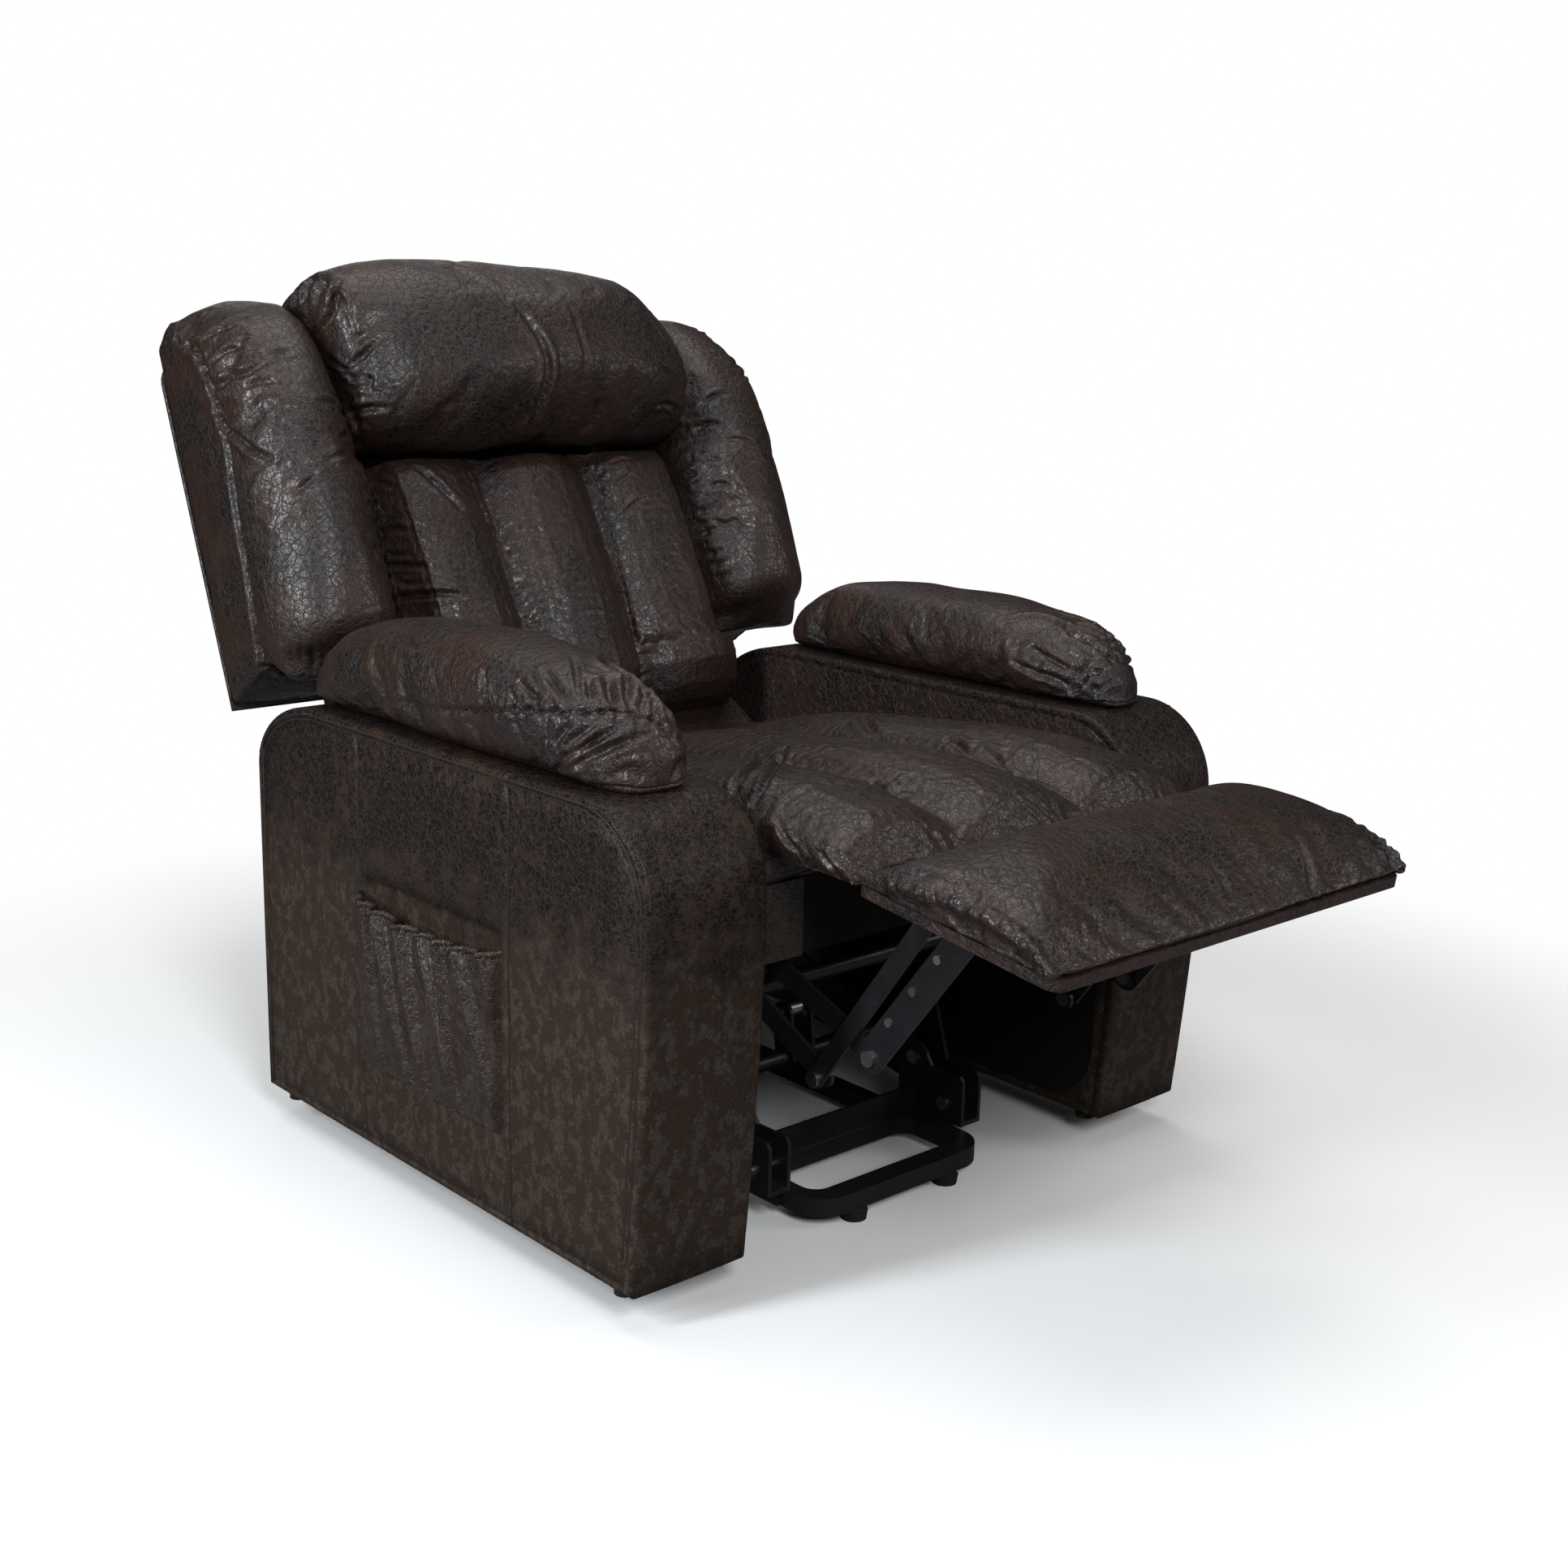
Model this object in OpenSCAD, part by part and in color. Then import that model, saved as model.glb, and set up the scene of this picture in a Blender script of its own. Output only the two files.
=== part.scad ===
// Powered lift recliner chair with its footrest out and its back a little reclined.
// +X is the sitter's left, the front faces -Y, +Z is up; the floor is z = 0.
// Every length along Y below is measured from the lower front edge of the arm boxes;
// placed() then moves the whole chair so that its bounding box is centred on Y = 0.

/* [Chair] */
// Width over the two arm boxes
chair_w = 915; // [860:5:1100]
// Width of one arm box
arm_w = 160; // [125:5:195]
// Depth of the arm boxes, front edge to back face
arm_depth = 755; // [720:5:800]
// Height of the flat top of the arm boxes
arm_top_z = 562; // [550:2:574]
// Height of the arm boxes above the floor
arm_floor_gap = 42; // [38:1:50]
// Wall of the arm boxes
arm_wall = 14; // [12:1:22]

/* [Arm pads] */
// Thickness of the arm pads at their crown
pad_h = 119; // [100:1:140]
// How far an arm pad bulges past the outer face of its arm
pad_overhang = 4; // [0:1:12]

/* [Back] */
// Tilt of the back from upright
back_tilt = 21.4; // [15:0.2:24]
// Height of the lower edge of the wings at the rear
back_z = 512; // [508:1:530]
// Distance of that edge behind the arm fronts
back_y = 887; // [880:1:910]
// Length of the wings along the back
wing_len = 516; // [450:2:540]
// Half width over the two wings
wing_outer_x = 424; // [405:1:440]
// Deepest forward bulge of the wings
wing_bulge = 252; // [235:1:256]
// Top of the head pillow along the back
pillow_top_u = 537; // [510:1:560]

/* [Seat] */
// Number of sewn channels in the seat and in the back
channels = 3; // [2:1:4]
// Depth of the valleys between the channels
channel_depth = 34; // [20:1:40]
// Thickness of the seat's wooden rails
rail_t = 36; // [28:1:40]

/* [Footrest] */
// Depth of the footrest board, rear to front
footrest_depth = 262; // [220:2:270]
// Thickness of the footrest board
board_t = 12; // [9:1:15]
// Height of the pad's crown above the board
footrest_crown = 62; // [45:1:70]
// Slope of the footrest, down towards the front
footrest_tilt = 7.3; // [5:0.1:10]

/* [Mechanism] */
// Thickness of the link plates
link_t = 5; // [4:0.5:6]
// Radius of the pivot bolts
bolt_r = 5; // [4:0.5:6]
// Radial running clearance of a bolt in a moving plate
bolt_play = 0.08; // [0.05:0.01:0.1]
// Outer radius of the cross tubes
tube_r = 11; // [9:0.5:12]
// Wall of the steel tubes
tube_wall = 2; // [1.5:0.5:3]
// Radius of the push rods of the two motors
rod_r = 8; // [6:0.5:9]

/* [Base] */
// Height of the rubber feet
foot_h = 15; // [12:1:16]
// Radius of the rubber feet
foot_r = 17; // [14:1:20]
// Height of the base tube
base_tube_h = 23; // [18:1:24]
// Width of the base tube
base_tube_w = 30; // [24:1:34]
// Width of the two long sides of the base loop
base_side_w = 21; // [18:1:30]
// Half width over the front loop of the base
base_half_w = 146; // [130:1:147]

/* [Pocket and hand control] */
// Length of the storage pocket
pocket_l = 290; // [240:5:300]
// Height of the storage pocket
pocket_h = 212; // [190:2:220]
// Room inside the pocket, outer panel to arm
pocket_room = 18; // [17:0.5:22]
// Wall of the pocket's cloth
cloth_t = 2.5; // [1.5:0.5:3]
// Thickness of the hand control
remote_t = 14; // [12:0.5:15]
// Travel of its buttons
button_travel = 1.4; // [1:0.1:1.8]

/* [Hidden] */
$fn = 48;
gap = 0.3;
origin_y = 334;
half_w = chair_w/2;
inner_x = half_w - arm_w;
soft_play = 9;
mech_x = inner_x - 107;
plate_t = 6;
plate_out = mech_x + plate_t;
// stacking of the footrest links outwards from the side plates
link_gap = 2;
link_a_x = plate_out + link_gap;
link_b_x = link_a_x + link_t + link_gap;
link_c_x = link_b_x + link_t + link_gap;
bracket_x = link_c_x + link_t + link_gap;
// pivots of the footrest linkage, each as [y, z]
pivot_r1 = [235, 353.8];
pivot_r2 = [199, 392];
knee_1 = [-14, 231];
knee_2 = [-97, 280];
foot_pin_a = [-182, 465];
foot_pin_b = [-227, 451];
// turn of the rear lower links from out to folded
fold_turn = 66.3;
// pivots of the lift linkage
lift_g1 = [127, 63];
lift_g2 = [181, 110.3];
lift_c1 = [385.5, 111];
lift_c2 = [584.5, 220.7];
// turn of the rear lift links from down to raised
lift_turn = 51;
tower_x = base_half_w;
tower_t = 5;
// the rear links run inside the front ones
lift_rear_x = tower_x + tower_t + 3;
lift_front_x = lift_rear_x + link_t + 9;
tower_out_x = lift_front_x + link_t + 3;
// hinge of the back
back_pivot = [640, 440];
flap_pivot = [14, 478];
seat_rear_y = 608;
seat_front_y = flap_pivot[0] + 1;
flap_front_y = -128;
rail_front_y = 32;
rail_rear_y = 596;
rail_z0 = 396;
rail_top_front = 452;
rail_top_rear = 408;
base_top_z = foot_h + base_tube_h;
base_rear_y = 640;
pin_head_r = bolt_r + 4;
pin_head_h = 4;
foot_org = [-137, 484];

steel = "#1b1c1f";
leather = "#3a2622";
leather_dark = "#2c1d1b";
cloth = "#101113";
rubber = "#0c0c0c";
timber = "#b08a5a";
zinc = "#8b8d90";
plastic = "#202226";

// ---------------------------------------------------------------- helpers

module placed() translate([0, -origin_y, 0]) children();

// A copy on each side of the centre plane
module pair() {
    children();
    mirror([1, 0, 0]) children();
}

// Extrudes a [y, z] outline along X, from x0 to x0 + t
module across(x0, t) translate([x0, 0, 0]) rotate([90, 0, 90]) linear_extrude(t) children();

// Outline of a link plate with round ends; its flanks lie just inside the circles
module link_shape(p, q, hw) {
    run = q - p;
    flank = hw - 0.15;
    translate(p) circle(hw);
    translate(q) circle(hw);
    translate(p) rotate(atan2(run[1], run[0])) translate([0, -flank]) square([norm(run), 2*flank]);
}

// A link with a running bore at each end, and none where play is negative
module link_plate(p, q, hw, x0, play_p, play_q) across(x0, link_t) difference() {
    link_shape(p, q, hw);
    translate(p) circle(bolt_r + play_p);
    translate(q) circle(bolt_r + play_q);
}

// A bolt along X with a low head at each end
module bolt(p, x0, x1, head0 = pin_head_h, head1 = pin_head_h) {
    across(x0, x1 - x0) translate(p) circle(bolt_r);
    if (head0 > 0) across(x0 - head0, head0) translate(p) circle(pin_head_r);
    if (head1 > 0) across(x1, head1) translate(p) circle(pin_head_r);
}

// A round tube along X, centred on the middle plane
module cross_tube(p, half_len) across(-half_len, 2*half_len) difference() {
    translate(p) circle(tube_r);
    translate(p) circle(tube_r - tube_wall);
}

// Rectangle with round corners, built from exact circles
module round_rect(x0, y0, x1, y1, r) {
    translate([x0 + r, y0]) square([x1 - x0 - 2*r, y1 - y0]);
    translate([x0, y0 + r]) square([x1 - x0, y1 - y0 - 2*r]);
    for (x = [x0 + r, x1 - r], y = [y0 + r, y1 - r]) translate([x, y]) circle(r);
}

// Stands children up in the frame of the back: Z runs up along it, -Y is its forward normal
module on_back() translate([0, back_y, back_z]) rotate([-back_tilt, 0, 0]) children();

// Frame of the footrest: origin at the lower rear edge of its board, -Y towards its front
module on_footrest() translate([0, foot_org[0], foot_org[1]]) rotate([footrest_tilt, 0, 0]) children();

// A closed skin through rings of equally many points, closed by a fan at each end
module loft(rings, turn = false) {
    n = len(rings[0]);
    m = len(rings);
    mid0 = [for (k = [0:2]) mean([for (p = rings[0]) p[k]])];
    mid1 = [for (k = [0:2]) mean([for (p = rings[m - 1]) p[k]])];
    pts = [for (r = rings, p = r) p, mid0, mid1];
    sides = [for (i = [0:m - 2], j = [0:n - 1]) let (a = i*n + j, b = i*n + (j + 1)%n)
        each [[a, b, b + n], [a, b + n, a + n]]];
    caps = [for (j = [0:n - 1]) let (e = (m - 1)*n)
        each [[m*n, (j + 1)%n, j], [m*n + 1, e + j, e + (j + 1)%n]]];
    faces = concat(sides, caps);
    polyhedron(pts, turn ? [for (f = faces) [f[2], f[1], f[0]]] : faces);
}

function mean(v) = sum(v)/len(v);
function sum(v, i = 0) = i == len(v) ? 0 : v[i] + sum(v, i + 1);
function spow(v, e) = sign(v)*pow(abs(v), e);
// Half of a superellipse: 1 at t = 0, 0 at |t| = 1
function swell(t, n) = pow(max(0, 1 - pow(min(1, abs(t)), n)), 1/n);
// Round closed section: half width hw, rise above and drop below its middle
function section(count, hw, rise, drop, n_up, n_down) = [for (i = [0:count - 1])
    let (a = 360*i/count, n = sin(a) >= 0 ? n_up : n_down)
    [hw*spow(cos(a), 2/n), (sin(a) >= 0 ? rise : drop)*spow(sin(a), 2/n)]];
// Scalloped height of sewn channels: 0 on a crest, 1 in a valley, s from -1 to 1 across all channels
function scallop(s) = let (f = (s + 1)/2*channels, c = 2*(f - floor(min(f, channels - 0.0001))) - 1)
    pow(min(1, abs(c)), 2.6);

// ---------------------------------------------------------------- base

module base_loop() color(steel) placed() translate([0, 0, foot_h]) linear_extrude(base_tube_h)
    difference() {
        round_rect(-base_half_w, 46, base_half_w, base_rear_y - base_tube_w - 1, 44);
        for (y = [[46 + base_tube_w, 174], [174 + base_tube_w, base_rear_y - 2*base_tube_w - 1]])
            round_rect(-base_half_w + base_side_w, y[0], base_half_w - base_side_w, y[1], 22);
    }

module base_rear_bar() color(steel) placed()
    translate([-base_half_w - 84, base_rear_y - base_tube_w - 1, foot_h])
    cube([2*(base_half_w + 84), base_tube_w, base_tube_h]);

// The inner wall of a tower reaches down to the side of the loop, the outer one stands taller
tower_inner = [[95, 40], [95, 100], [101, 106], [150, 106], [160, 120], [172, 131], [192, 131], [203, 122],
    [206, 110], [206, foot_h], [112, foot_h], [112, 40]];
tower_outer = [[95, 40], [95, 100], [101, 106], [152, 106], [178, 186], [206, 186], [206, 40]];

module base_towers() color(steel) placed() {
    pair() {
        across(tower_x, tower_t) difference() {
            polygon(tower_inner);
            for (p = [lift_g1, lift_g2]) translate(p) circle(bolt_r);
        }
        across(tower_out_x, tower_t) difference() {
            polygon(tower_outer);
            translate(lift_g1) circle(bolt_r);
        }
        // floor that ties the two walls of a tower
        translate([tower_x + tower_t, 95, 40]) cube([tower_out_x - tower_x - tower_t, 111, 6]);
    }
    // angle iron from tower to tower, on the cross bar of the loop
    translate([-tower_x, 176, base_top_z]) cube([2*tower_x, 28, 5]);
    translate([-tower_x, 176, base_top_z]) cube([2*tower_x, 5, 34]);
}

module base_feet() color(rubber) placed()
    for (p = [[78, 57], [base_half_w + 62, base_rear_y - base_tube_w/2 - 1]]) pair()
        translate([p[0], p[1], 0]) {
            cylinder(h = foot_h - 4, r1 = foot_r - 1.5, r2 = foot_r, $fn = 48);
            translate([0, 0, foot_h - 4]) cylinder(h = 4, r = foot_r - 3);
        }

module base_bolts() color(zinc) placed() pair() {
    bolt(lift_g1, tower_x, tower_out_x + tower_t);
    bolt(lift_g2, tower_x, lift_rear_x + link_t);
    // holds the lift motor in its bracket
    bolt(motor_pin, 0, motor_half + gap, 0, pin_head_h);
}

motor_pin = [600, 62];
motor_half = 24;
module motor_bracket() color(steel) placed() pair() across(motor_half - 6 + gap, 6) difference() {
    polygon([[580, base_top_z], [586, motor_pin[1] + 14], [614, motor_pin[1] + 14], [636, base_top_z]]);
    translate(motor_pin) circle(bolt_r);
}

// ---------------------------------------------------------------- lift links and motor

module lift_front_links() color(steel) placed() pair()
    link_plate(lift_g1, lift_c1, 16, lift_front_x, bolt_play, bolt_play);

// The upper bore is wider: it takes up what the linkage's two paths differ by
module lift_rear_links() color(steel) placed() pair()
    link_plate(lift_g2, lift_c2, 15, lift_rear_x, bolt_play, 0.3);

function along(a) = [cos(a), sin(a)];

// The rod of the lift motor works straight along this line, the levers turn about lift_g2
lift_line = along(160);
lift_foot = motor_pin + ((lift_g2 - motor_pin)*lift_line)*lift_line;
lift_arm = norm(lift_foot - lift_g2);
lift_pin = lift_foot - lift_arm*tan(lift_turn/2)*lift_line;
lift_tube = lift_g2 + 70*(lift_c2 - lift_g2)/norm(lift_c2 - lift_g2);

// Slot in a lever for a rod's cross pin: radial to centre, from the foot of the line to its ends
module lever_slot(centre, pin, arm, turn, play) {
    dir = (pin - centre)/norm(pin - centre);
    link_shape(centre + arm*dir, centre + (arm/cos(turn/2) + 0.4)*dir, bolt_r + play);
}

// Pair of lever plates on a cross tube, outer face at |x| = 19
module levers(tube, centre, pin, arm, turn, play) pair() across(14, 5) difference() {
    link_shape(tube, (pin + centre + arm*(pin - centre)/norm(pin - centre))/2, 17);
    translate(tube) circle(tube_r);
    lever_slot(centre, pin, arm, turn, play);
}

module lift_cross_tube() color(steel) placed() {
    cross_tube(lift_tube, lift_rear_x);
    levers(lift_tube, lift_g2, lift_pin, lift_arm, lift_turn, 1.5);
}

// Frame of a push motor: X runs from its fixed end towards its rod's eye, Z is up
module on_motor(end, eye) translate([0, end[0], end[1]])
    rotate([atan2(eye[1] - end[1], eye[0] - end[0]) - 180, 0, 0]) rotate([0, 0, -90]) children();

// Gear housing with its upright motor, and a bore for the rod
module motor_body(end, eye, body_l, tower_l) on_motor(end, eye) difference() {
    union() {
        rotate([90, 0, 0]) translate([0, 0, -motor_half + 6]) cylinder(h = 2*motor_half - 12, r = 14);
        translate([0, -motor_half + 6, -18]) cube([body_l, 2*motor_half - 12, 40]);
        translate([34, 0, 22]) cylinder(h = 16, r = 16);
        translate([34, 0, 38]) cylinder(h = tower_l, r = 21);
    }
    rotate([90, 0, 0]) translate([0, 0, -40]) cylinder(h = 80, r = bolt_r);
    // seat of the outer tube
    translate([body_l - 12, 0, 0]) rotate([0, 90, 0]) cylinder(h = 20, r = rod_r + 7);
    translate([9, 0, 0]) rotate([0, 90, 0]) cylinder(h = body_l, r = rod_r + 1);
}

module motor_sleeve(end, eye, from_l, to_l) on_motor(end, eye) translate([from_l, 0, 0]) rotate([0, 90, 0])
    difference() {
        cylinder(h = to_l - from_l, r = rod_r + 7);
        translate([0, 0, -1]) cylinder(h = to_l - from_l + 2, r = rod_r + 1);
    }

// Rod with its eye block and the cross pin that works in the levers
module motor_rod(end, eye, from_l) on_motor(end, eye) let (l = norm(eye - end)) {
    translate([from_l, 0, 0]) rotate([0, 90, 0]) cylinder(h = l - from_l - 8, r = rod_r);
    rotate([90, 0, 0]) translate([l, 0, -10]) cylinder(h = 20, r = 12);
    rotate([90, 0, 0]) translate([l, 0, -22]) cylinder(h = 44, r = bolt_r);
}

module lift_motor_housing() color(plastic) placed() motor_body(motor_pin, lift_pin, 90, 48);

module lift_motor_tube() color(zinc) placed() motor_sleeve(motor_pin, lift_pin, 78, 286);

module lift_push_rod() color(zinc) placed() motor_rod(motor_pin, lift_pin, 110);

// ---------------------------------------------------------------- seat mechanism

module side_plates() color(steel) placed() pair() {
    across(mech_x, plate_t) difference() {
        polygon([[52, 430], [52, 392], [84, 384], [120, 372], [196, 352], [220, 334], [250, 334],
            [330, 346], [400, 330], [366, 130], [366, 98], [374, 90], [548, 90], [608, 160], [612, 330],
            [634, 380], [666, 430], [658, 456], [622, 456], [616, 424], [606, 396], [262, 396], [250, 412],
            [150, 412], [140, 396], [80, 396], [72, 430]]);
        for (p = [pivot_r2, lift_c1, lift_c2, back_pivot]) translate(p) circle(bolt_r);
        // running bore of the drive shaft
        translate(pivot_r1) circle(bolt_r + bolt_play);
        // lightening hole
        translate([480, 210]) circle(50);
    }
    // top flange that carries the seat frame
    translate([plate_out, 262, rail_z0 - 5]) cube([inner_x - plate_out, 320, 5]);
}

recline_end = [545, pivot_r1[1] - 45];
mech_tubes = [[578, 300], [430, 262]];
module mech_cross_tubes() color(steel) placed() {
    for (p = mech_tubes) cross_tube(p, mech_x);
    // ears that hold the footrest motor
    pair() across(motor_half - 6 + gap, 6) difference() {
        link_shape(mech_tubes[0], recline_end, 13);
        translate(mech_tubes[0]) circle(tube_r);
        translate(recline_end) circle(bolt_r);
    }
}

module mech_bolts() color(zinc) placed() pair() {
    bolt(pivot_r2, mech_x, link_b_x + link_t, pin_head_h, 1.6);
    bolt(lift_c1, lift_front_x, plate_out);
    bolt(lift_c2, lift_rear_x, plate_out);
    // holds the footrest motor in its ears
    bolt(recline_end, 0, motor_half + gap, 0, pin_head_h);
    // spacer sleeves between the lift links and the side plates
    across(lift_front_x + link_t + 1, mech_x - lift_front_x - link_t - 1) difference() {
        translate(lift_c1) circle(9);
        translate(lift_c1) circle(bolt_r);
    }
    across(lift_rear_x + link_t + 1, mech_x - lift_rear_x - link_t - 1) difference() {
        translate(lift_c2) circle(9);
        translate(lift_c2) circle(bolt_r);
    }
}

module seat_frame() color(timber) placed() {
    pair() across(inner_x - rail_t - gap, rail_t) polygon([[rail_front_y, rail_z0], [rail_rear_y, rail_z0],
        [rail_rear_y, rail_top_rear], [rail_front_y, rail_top_front]]);
    translate([-inner_x + rail_t + gap, rail_front_y, rail_z0 + 8])
        cube([2*(inner_x - rail_t - gap), 20, rail_top_front - rail_z0 - 10]);
    translate([-inner_x + rail_t + gap, rail_rear_y - 20, rail_z0])
        cube([2*(inner_x - rail_t - gap), 20, rail_top_rear - rail_z0]);
}

// Height of the seat frame's sloping top at y
function rail_top(y) = rail_top_front + (rail_top_rear - rail_top_front)*(y - rail_front_y)
    /(rail_rear_y - rail_front_y);
rail_slope = atan2(rail_top_front - rail_top_rear, rail_rear_y - rail_front_y);

module seat_webbing() color("#4a4a48") placed() for (k = [0:5]) let (y = 90 + k*90)
    translate([-inner_x + 6, y, rail_top(y)]) rotate([-rail_slope, 0, 0])
        cube([2*inner_x - 12, 50, 1.5]);

// Black cloth across the front of the seat frame, with a leather end at each side
module seat_apron() color(cloth) placed() translate([-mech_x - 14, rail_front_y - gap - 3, 360])
    cube([2*(mech_x + 14), 3, 88]);

module apron_ends() color(leather_dark) placed() pair()
    translate([mech_x + 14.2, rail_front_y - gap - 8, 360]) cube([inner_x - mech_x - 18, 8, 88]);

control_x = 42;
module control_box() color(plastic) placed() translate([control_x, mech_tubes[1][0] + tube_r + gap, 240])
    difference() {
        cube([104, 96, 40]);
        translate([3, 3, 3]) cube([98, 90, 34]);
    }

module power_inlet() color(plastic) placed() translate([control_x + 30, mech_tubes[1][0] + tube_r + gap + 96, 246])
    difference() {
        cube([40, 16, 28]);
        translate([6, 3, 6]) cube([28, 14, 16]);
    }

// ---------------------------------------------------------------- footrest motor

recline_arm = pivot_r1[1] - recline_end[1];
recline_pin = pivot_r1 + [-recline_arm*tan(fold_turn/2), -recline_arm];
module recline_motor() color(plastic) placed() motor_body(recline_end, recline_pin, 90, 36);

module recline_motor_tube() color(zinc) placed() motor_sleeve(recline_end, recline_pin, 78, 236);

module recline_push_rod() color(zinc) placed() motor_rod(recline_end, recline_pin, 128);

// ---------------------------------------------------------------- seat

// Crest line of the seat and its flap, [y, z]
seat_crest = [[-140, 541], [-100, 550], [-60, 556], [30, 565], [100, 561], [200, 550], [300, 538],
    [430, 521], [508, 502], [592, 473], [624, 456]];
function crest(y) = lookup(y, seat_crest);

// One cross-section of a channelled slab: top scallops over a flat underside
function slab(y, half, top, base, round_off) = let (
    steps = channels*6,
    edge = top - (top - base)*0.42*round_off)
    concat(
        [[-half + 6, y, base]],
        [[-half, y, base + (edge - base)*0.5]],
        [for (i = [0:steps]) let (s = -1 + 2*i/steps, last = abs(s) > 0.999)
            [s*(half - 4), y, last ? edge : top - channel_depth*round_off*scallop(s)]],
        [[half, y, base + (edge - base)*0.5]],
        [[half - 6, y, base]],
        [for (i = [1:3]) [half - 6 - (2*half - 12)*i/4, y, base]]);

seat_half = inner_x - soft_play;
seat_steps = 15;
module seat_cushion() color(leather) placed() loft([for (i = [0:seat_steps])
    let (t = i/seat_steps, y = seat_front_y + (seat_rear_y - seat_front_y)*t,
        end_fall = 1 - 0.9*pow(max(0, (t - 0.86)/0.14), 3))
    slab(y, seat_half, rail_top(y) + 2.2 + (crest(y) - rail_top(y) - 2.2)*(0.35 + 0.65*end_fall),
        rail_top(y) + 2.2, 1)]);

flap_steps = 6;
module seat_flap() color(leather) placed() loft([for (i = [0:flap_steps])
    let (t = i/flap_steps, y = flap_front_y + (seat_front_y - gap - flap_front_y)*t,
        nose = swell(1 - min(1, t/0.4), 2.2))
    slab(y, seat_half - 4, flap_pivot[1] + 4 + (crest(y) - flap_pivot[1] - 4)*(0.30 + 0.70*nose),
        flap_pivot[1] + 2, 1)]);

// ---------------------------------------------------------------- arms

// Side outline of an arm box: upright bowed front, rolled top, rounded rear shoulder
arm_roll = 104;
arm_bow = 23;
arm_side = concat(
    [[0, arm_floor_gap], [arm_depth, arm_floor_gap], [arm_depth, arm_top_z - 100]],
    [for (a = [10:20:90]) [arm_depth - 150 + 150*cos(a), arm_top_z - 100 + 100*sin(a)]],
    [for (a = [90:15:180]) [arm_roll - arm_bow + arm_roll*cos(a), arm_top_z - arm_roll + arm_roll*sin(a)]],
    [for (k = [1:4]) let (z = arm_top_z - arm_roll - (arm_top_z - arm_roll - arm_floor_gap)*k/5)
        [-arm_bow*sin(90*(z - arm_floor_gap)/(arm_top_z - arm_roll - arm_floor_gap)), z]]);

pocket_y0 = 224;
pocket_z0 = 150;
pocket_recess = 8;
module pocket_hollow() translate([-half_w - 1, pocket_y0 + 4, pocket_z0 + 4])
    cube([pocket_recess + 1, pocket_l - 8, pocket_h + 20]);

// Hollow of an arm box, open towards the seat
module arm_hollow(slack) round_rect(arm_wall + slack, arm_floor_gap + arm_wall + slack,
    arm_depth - 30 - slack, arm_top_z - arm_wall - 2 - slack, 74 - slack);

module arm_box() difference() {
    across(inner_x, arm_w) polygon(arm_side);
    across(inner_x - 1, arm_w - arm_wall + 1) arm_hollow(0);
}

module arm_box_right() color(leather) placed() difference() {
    mirror([1, 0, 0]) arm_box();
    pocket_hollow();
}

module arm_box_left() color(leather) placed() arm_box();

pad_y0 = 52;
pad_y1 = 634;
pad_rings = 15;
module arm_pad() loft([for (i = [0:pad_rings])
    let (t = i/pad_rings, s = 2*(0.5 - 0.5*cos(180*t)) - 1, y = (pad_y0 + pad_y1)/2 + s*(pad_y1 - pad_y0)/2,
        fat = max(0.12, swell(s, 3)), drop = 10*pow(max(0, -s), 3),
        inset = inner_x + 3, outset = half_w + pad_overhang,
        mid = arm_top_z + gap + pad_h*0.42*fat)
    [for (p = section(22, (outset - inset)/2*(0.35 + 0.65*fat), pad_h*0.58*fat - drop, pad_h*0.42*fat,
            2.3, 3.4))
        [(inset + outset)/2 + p[0], y, mid + p[1]]]], true);

module arm_pad_left() color(leather) placed() arm_pad();

module arm_pad_right() color(leather) placed() mirror([1, 0, 0]) arm_pad();

// Panels that close the hollow: black cloth below the seat, leather beside it
arm_split_z = rail_z0 - 12;
module arm_inner_panels() color(cloth) placed() pair() across(inner_x, 5) difference() {
    arm_hollow(gap);
    translate([0, arm_split_z]) square([arm_depth, arm_top_z]);
}

module arm_liners() color(leather) placed() pair() across(inner_x, 5) difference() {
    arm_hollow(gap);
    translate([0, 0]) square([arm_depth, arm_split_z + gap]);
}

module arm_glides() color(rubber) placed() pair()
    for (x = [inner_x + 22, half_w - 22], y = [36, arm_depth - 32])
        translate([x, y, arm_floor_gap - 12]) cylinder(h = 12, r = 12);

// ---------------------------------------------------------------- pocket and hand control

pocket_out = half_w - pocket_recess + pocket_room;
module pocket() color(leather_dark) placed() mirror([1, 0, 0]) {
    // outer panel
    translate([pocket_out, pocket_y0, pocket_z0]) cube([cloth_t, pocket_l, pocket_h]);
    // bottom and side gussets down to the arm's face
    translate([half_w, pocket_y0, pocket_z0]) cube([pocket_out - half_w, pocket_l, cloth_t]);
    for (y = [pocket_y0, pocket_y0 + pocket_l - cloth_t])
        translate([half_w, y, pocket_z0]) cube([pocket_out - half_w, cloth_t, pocket_h]);
}

remote_w = 46;
remote_l = 146;
remote_y0 = pocket_y0 + pocket_l - 8 - remote_w;
remote_z0 = pocket_z0 + 4.3;
remote_x0 = half_w - pocket_recess + 0.3;
button_r = 8;
button_z = [104, 72];
module button_hole(k) translate([remote_x0 + remote_t - 4, remote_y0 + remote_w/2, remote_z0 + button_z[k]])
    rotate([0, 90, 0]) cylinder(h = 8, r = button_r + 0.4);

module hand_control() color(plastic) placed() mirror([1, 0, 0]) difference() {
    across(remote_x0, remote_t) round_rect(remote_y0, remote_z0, remote_y0 + remote_w, remote_z0 + remote_l, 9);
    for (k = [0, 1]) button_hole(k);
}

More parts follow.
